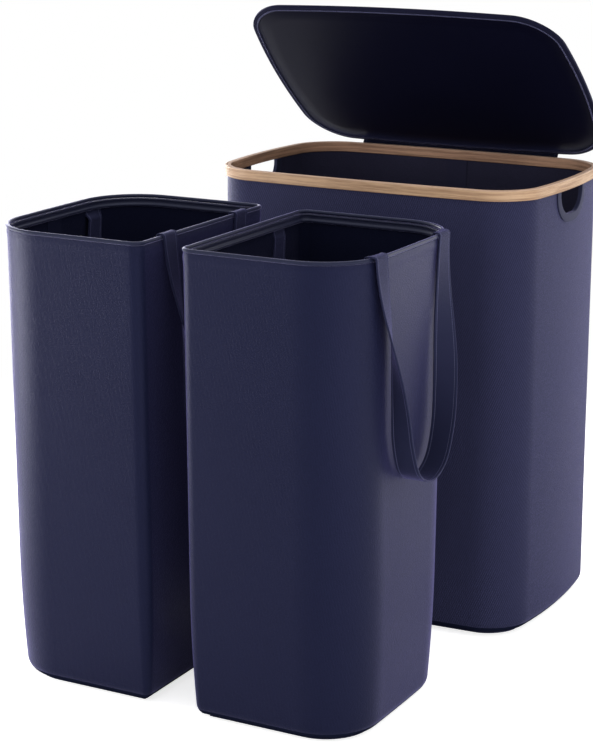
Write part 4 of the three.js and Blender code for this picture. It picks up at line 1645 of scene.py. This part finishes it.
@dataclass(frozen=True)
class Strap:
    """A carry strap sewn on at both ends: its roots follow the bin's rim and its loop hangs below."""

    name: str
    loop: StrapLoop
    root: np.ndarray
    reach: Callable[[np.ndarray], np.ndarray]
    depth: float
    start_below: float

    def rooted(self, end: int, s: np.ndarray, h: np.ndarray) -> np.ndarray:
        """Surface points of one root, from its sewn end to the turning line.

        Args:
            end: -1 for the front leg, 1 for the back one.
            s: places across the strap.
            h: heights above its middle.

        Returns:
            A grid of shape (stations, section points, 3).
        """
        turn = np.array(self.loop.turn)
        y = turn[1] + end * (self.loop.spread / 2 + s)
        stretch = (turn[0] - self.reach(y - turn[1])) / self.depth
        x = turn[0] - self.root[:, :1] * stretch
        z = np.broadcast_to(self.root[:, 1:], x.shape)
        dx, dz = np.gradient(x, axis=0), np.gradient(z, axis=0)
        size = np.hypot(dx, dz)
        return stacked(x - dz / size * h, y, z + dx / size * h)

    def skin(self) -> Skin:
        """The whole strap as one closed ribbon with UV along its length and across it.

        Returns:
            The ribbon.
        """
        s, h = self.loop.web.section()
        centre, across, face = self.loop.frames()
        hung = centre[:, 2] < self.start_below
        centre, across, face = (part[hung][:, None] for part in (centre, across, face))
        middle = centre + across * s[:, None] + face * h[:, None]
        grid = np.concatenate([self.rooted(-1, s, h), middle, self.rooted(1, s, h)[::-1]])
        along = run(grid[:, np.argmin(np.abs(s))])
        uv = stacked(along[:, None], np.append(s, s[0]) + self.loop.web.width / 2)
        return Skin(self.name, grid, (WEBBING,), uv=uv, sharp=70)


# Bins


@dataclass
class Bin:
    """A lift-out bin: wrapped sheet, rim bead, inner hem, bottom and two carry straps."""

    name: str
    flat_side: Side
    middle: Pair
    height: float = 0.613
    width: float = 0.240
    depth: float = 0.321
    round_corner: float = 0.081
    flat_corner: float = 0.017
    bow: float = 0.002
    bead: float = 0.0026
    inset: float = 0.0015
    thickness: float = 0.0022
    base_thickness: float = 0.002
    gap: float = 0.0003
    hem_depth: float = 0.017
    hem_thickness: float = 0.0014
    hem_bead: float = 0.0034
    ridge: float = 0.0007
    ridge_rows: Point = (0.0008, 0.002, 0.0028)
    crest_rows: Point = (0.0052, 0.0036, 0.0012)
    tape_width: float = 0.032
    tape_low: float = 0.0203
    swell_height: float = 0.0007
    swell_below: float = 0.0070
    swell_spread: float = 0.0055
    web: Webbing = Webbing()
    strap_lift: float = 0.0013
    strap_turn: float = 0.0033
    strap_in: float = 0.001
    strap_below: float = 0.006
    strap_clear: float = 0.001
    strap_bend: float = 0.003
    inner_root: float = 0.009
    inner_drop: float = 0.0017
    inner_bend: float = 0.0027
    inner_ease: float = 0.002

    HEM_ROUNDS: ClassVar[tuple[float, ...]] = (
        0.0002, 0.0004, 0.0004, 0.0004, 0.0005, 0.0011, 0.0011, 0.0009, 0.0007, 0.0002
    )

    @property
    def plan(self) -> Plan:
        """The rim's outline: small corners on the flat side, large ones and a slight bow on the other.

        Returns:
            The plan, about the bin's middle.
        """
        large, small = self.round_corner, self.flat_corner
        if self.flat_side is Side.RIGHT:
            return Plan(self.width, self.depth, (large, small, small, large), self.bow, centre=self.middle)
        return Plan(self.width, self.depth, (small, large, large, small), 0.0, self.bow, centre=self.middle)

    @property
    def sheet_top(self) -> float:
        """Height of the sheet's edge under the bead."""
        return self.height - 2 * self.bead - self.gap

    @property
    def hem_low(self) -> float:
        """Height just below the hem."""
        return self.height - self.hem_depth - self.gap

    @property
    def sheet_inner(self) -> float:
        """Inset just inside the sheet at the top."""
        return self.inset + self.thickness + self.gap

    @property
    def tub(self) -> Tub:
        """The rule of the bin's wall."""
        return Tub(
            self.plan, self.sheet_top, self.inset, self.thickness,
            taper=0.014, fillet=0.018, floor=0.0023, flange=0.012, curve=0.0066, curve_from=0.175,
        )

    def swell(self, z: np.ndarray) -> np.ndarray:
        """How far the sheet stands out over the hem inside it: a bell curve of the height below its edge."""
        off = (self.sheet_top - z - self.swell_below) / self.swell_spread
        return self.swell_height * np.exp(-(off**2))

    def body(self) -> Body:
        """The bin's own body."""
        return Body(self.name)

    def rim(self) -> None:
        """The round bead on the sheet's edge and the hem band inside it."""
        r, ridge = self.bead, self.ridge
        ring = arc((r, self.height - r), r, circle(16))
        bead = Skin(f"{self.name}_bead", self.plan.around(ring), (BEAD,), close_rows=True, sharp=80)
        bead.settle(self.body(), Slot.SHEET, f"{self.name}_rim_bead")
        top, low, back = self.sheet_top, self.height - self.hem_depth, self.sheet_inner
        face, crest = back + self.hem_thickness, back + self.hem_bead
        corners = [(back, top), (face, top)]
        corners += [(x, top - down) for x, down in zip((face + ridge, face + ridge, face), self.ridge_rows)]
        corners += [(x, low + up) for x, up in zip((face, crest, crest), self.crest_rows)]
        corners += [(face, low), (back, low)]
        grid = self.plan.around(rounded(corners, self.HEM_ROUNDS, 4))
        hem = Skin(f"{self.name}_hem", grid, (RIM_HEM,), close_rows=True, sharp=60)
        hem.settle(self.body(), Slot.INNER_SHEET, f"{self.name}_inner_hem")

    def hang(self, strap: Strap, kind: str) -> None:
        """Builds a strap in place of its CAD parts.

        Args:
            strap: the strap.
            kind: outer or inner.
        """
        piece = strap.skin().build()
        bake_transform(piece)
        parts = ("root_front", "root_back", "strap")
        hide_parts(*(f"{self.name}_{kind}_{part}" for part in parts))
        log.info("%s: %d faces", piece.name, len(piece.data.polygons))

    def outer_strap(self) -> None:
        """The strap that comes over the rim bead and hangs outside, on the right of either bin."""
        plan, side, lift, radius = self.plan, Side.RIGHT, self.strap_lift, self.strap_turn
        x = float(plan.reach(0.0, side, StrapLoop.spread / 2 - self.web.width / 2)) + lift
        y, z = self.middle[1], self.height + lift
        loop = StrapLoop((x, y, z), self.middle[0] + plan.width / 2 - x, web=self.web)
        inner = self.sheet_inner + self.hem_bead + self.gap + self.strap_in
        depth, low = inner + lift, self.height - self.hem_depth - self.strap_below
        angle = np.linspace(0, math.pi / 2, 9)
        rise = stacked(depth, np.linspace(low, z - radius, 10))
        first = arc((depth - radius, z - radius), radius, angle)[1:]
        flat = stacked(np.linspace(depth - radius, radius, 5)[1:-1], z)
        second = arc((radius, z - radius), radius, math.pi / 2 + angle)
        root = np.concatenate([rise, first, flat, second])
        name, below = f"{self.name}_outer_webbing", z - radius - self.strap_clear
        strap = Strap(name, loop, root, lambda y: plan.reach(inner, side, y), depth, below)
        self.hang(strap, "outer")

    def inner_strap(self) -> None:
        """The strap that hangs inside, sewn on below the hem on the left of either bin."""
        plan, side, high = self.plan, Side.LEFT, self.hem_low
        low = high - self.inner_root
        inset = float(self.tub.insets(self.thickness + self.gap, low)[0])
        x = float(plan.reach(inset, side, StrapLoop.spread / 2 + self.web.width / 2)) + self.strap_in
        y, z = self.middle[1], low - self.inner_drop
        loop = StrapLoop((x, y, z), 0.0, web=self.web)
        rise = np.linspace(high, z - self.inner_ease, 16)
        share = 1 - smooth(-rise, self.inner_ease - high, self.strap_clear - z)
        root, sewn = stacked(share, rise), inset - self.strap_in
        name, below = f"{self.name}_inner_webbing", z - self.inner_bend
        strap = Strap(name, loop, root, lambda y: plan.reach(sewn, side, y), 1.0, below)
        self.hang(strap, "inner")

    def build(self) -> None:
        """Builds and dresses every piece of the bin."""
        wall = self.tub.wall(f"{self.name}_sheet", BIN_SHEET, INNER_SHEET, self.swell)
        wall.settle(self.body(), Slot.SHEET, f"{self.name}_wall")
        panel = self.tub.panel(f"{self.name}_bottom", self.base_thickness, BIN_SHEET)
        panel.settle(self.body(), Slot.SHEET, f"{self.name}_base")
        side = (-self.flat_side.value, 0)
        tape = self.tub.tape(f"{self.name}_tape", side, self.tape_width, self.hem_low, self.tape_low, TAPE)
        tape.settle(self.body(), Slot.INNER_SHEET, f"{self.name}_seam_tape")
        dress_node(f"{self.name}_base_board", BOARD)
        self.rim()
        self.outer_strap()
        self.inner_strap()


# Studio


@dataclass(frozen=True)
class Lamp:
    """A soft rectangular lamp that faces the middle of the object."""

    name: str
    place: Point
    width: float
    height: float
    power: float

    AIM: ClassVar[Point] = (0.0, -0.2, 0.35)

    def build(self) -> None:
        """Adds the lamp, unseen by the camera, and turns it to its aim."""
        data = bpy.data.lights.new(self.name, "AREA")
        data.shape, data.size, data.size_y, data.energy = "RECTANGLE", self.width, self.height, self.power
        lamp = linked(self.name, data)
        lamp.location = self.place
        lamp.visible_camera = False
        lamp.rotation_mode = "QUATERNION"
        lamp.rotation_quaternion = (Vector(self.AIM) - Vector(self.place)).to_track_quat("-Z", "Y")


@dataclass
class Studio:
    """White floor, a background that looks white, and soft lamps at both sides."""

    horizon: float = 1.3
    zenith: float = 0.35
    floor_radius: float = 1.6
    floor_rings: Pair = (0.9, 0.45)
    floor_middle: float = -0.2
    floor_fade_shares: Pair = (0.55, 0.98)
    floor_tone: float = 0.93
    floor_glow: float = 0.72
    lamps: tuple[Lamp, ...] = (
        Lamp("left_lamp", (-1.35, -0.85, 0.34), 0.7, 0.6, 12.0),
        Lamp("left_rear_lamp", (-1.35, 0.65, 0.60), 0.9, 1.2, 22.0),
        Lamp("right_lamp", (1.60, -0.85, 0.26), 2.0, 0.5, 7.0),
        Lamp("right_rear_lamp", (1.05, 1.25, 0.80), 1.0, 1.5, 6.0),
        Lamp("top_lamp", (0.0, -0.4, 3.0), 2.4, 2.4, 20.0),
    )

    def world(self) -> None:
        """A background that looks white, and whose light on the object weakens from horizon to zenith."""
        world = bpy.data.worlds.new("studio")
        bpy.context.scene.world = world
        world.use_nodes = True
        world.node_tree.nodes.clear()
        graph = Graph(world.node_tree)
        path = graph.add("ShaderNodeLightPath")
        seen = graph.math("MAXIMUM", path.outputs["Is Camera Ray"], path.outputs["Is Transmission Ray"])
        seen = graph.math("MAXIMUM", seen, path.outputs["Is Glossy Ray"])
        height = graph.axes(graph.add("ShaderNodeTexCoord").outputs["Generated"])[2]
        above = graph.math("MAXIMUM", height, 0.0)
        ambient = graph.math("MULTIPLY_ADD", above, self.zenith - self.horizon, self.horizon)
        strength = graph.plus(ambient, graph.times(graph.minus(1.0, ambient), seen))
        light = graph.add("ShaderNodeBackground", {"Color": (1.0, 1.0, 1.0, 1.0), "Strength": strength})
        graph.add("ShaderNodeOutputWorld", {"Surface": light.outputs["Background"]})

    def floor_material(self) -> bpy.types.Material:
        """White paper that glows to the camera and turns clear towards the floor's edge.

        Returns:
            The material.
        """
        material = bpy.data.materials.new("floor")
        material.use_nodes = True
        material.node_tree.nodes.clear()
        graph = Graph(material.node_tree)
        place = graph.add("ShaderNodeTexCoord").outputs["Object"]
        moved = graph.moved(place, (0.0, -self.floor_middle, 0.0))
        away = graph.add("ShaderNodeVectorMath", {0: moved}, operation="LENGTH").outputs["Value"]
        fade = graph.ramp(away, *(self.floor_radius * share for share in self.floor_fade_shares))
        white = graph.add("ShaderNodeBsdfDiffuse", {"Color": (*(self.floor_tone,) * 3, 1.0)})
        clear = graph.add("ShaderNodeBsdfTransparent")
        seen = graph.times(graph.add("ShaderNodeLightPath").outputs["Is Camera Ray"], self.floor_glow)
        glow = graph.add("ShaderNodeEmission", {"Strength": seen})
        lit = graph.add("ShaderNodeAddShader", {0: white.outputs["BSDF"], 1: glow.outputs["Emission"]})
        ends = {0: fade, 1: lit.outputs["Shader"], 2: clear.outputs["BSDF"]}
        mix = graph.add("ShaderNodeMixShader", ends)
        graph.add("ShaderNodeOutputMaterial", {"Surface": mix.outputs["Shader"]})
        return material

    def floor(self) -> None:
        """A round white floor that fades into the background away from the object."""
        ring, radii = circle(96), np.array([self.floor_radius, *self.floor_rings])[:, None]
        grid = stacked(radii * np.cos(ring), radii * np.sin(ring) + self.floor_middle, 0.0)
        m, n = grid.shape[:2]
        quads, middle = lattice(m, n, m - 1, n)[2], (m - 1) * n + np.arange(n)
        mesh = bpy.data.meshes.new("floor")
        mesh.from_pydata(grid.reshape(-1, 3).tolist(), [], quads.tolist() + [middle.tolist()])
        mesh.materials.append(self.floor_material())
        linked("floor", mesh)

    def build(self) -> None:
        """Sets the view transform, world, lamps and floor."""
        bpy.context.scene.view_settings.view_transform = "Standard"
        self.world()
        self.floor()
        for lamp in self.lamps:
            lamp.build()


@dataclass
class Viewpoint:
    """The camera, as fitted to the photograph."""

    focal_pixels: float = 2120.72
    frame_height: float = 756.0
    frame_width: float = 593.0
    centre: Pair = (284.63, 309.05)
    sensor: float = 36.0
    distance: float = 3.11222
    azimuth: float = math.radians(28.43)
    elevation: float = math.radians(12.58)
    roll: float = math.radians(0.14)
    aside: float = -0.1821
    above: float = 0.42095

    def build(self) -> None:
        """Places the camera at its distance behind the target, rolled a little."""
        az, el, ro = self.azimuth, self.elevation, self.roll
        back = Vector((math.sin(az) * math.cos(el), -math.cos(az) * math.cos(el), math.sin(el)))
        right = Vector((math.cos(az), math.sin(az), 0))
        up = back.cross(right)
        r = right * math.cos(ro) + up * math.sin(ro)
        u = -right * math.sin(ro) + up * math.cos(ro)
        place = right * self.aside + Vector((0, 0, self.above)) + back * self.distance
        data = bpy.data.cameras.new("camera")
        data.sensor_width = self.sensor
        data.lens = self.focal_pixels * self.sensor / self.frame_height
        data.shift_x = (self.frame_width / 2 - self.centre[0]) / self.frame_height
        data.shift_y = (self.centre[1] - self.frame_height / 2) / self.frame_height
        camera = linked("camera", data)
        turned = Matrix((r, u, back)).transposed().to_4x4()
        camera.matrix_world = Matrix.Translation(place) @ turned
        bpy.context.scene.camera = camera


def main() -> None:
    """Builds every piece, the studio and the camera."""
    logging.basicConfig(level=logging.INFO, format="%(message)s")
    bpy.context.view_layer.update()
    Hamper().build()
    lid = Lid()
    lid.build()
    HingeCloth(lid).build()
    Bin("bin_a", Side.RIGHT, (-0.2025, -0.444)).build()
    Bin("bin_b", Side.LEFT, (0.095, -0.450)).build()
    Studio().build()
    Viewpoint().build()


if __name__ == "__main__":
    main()
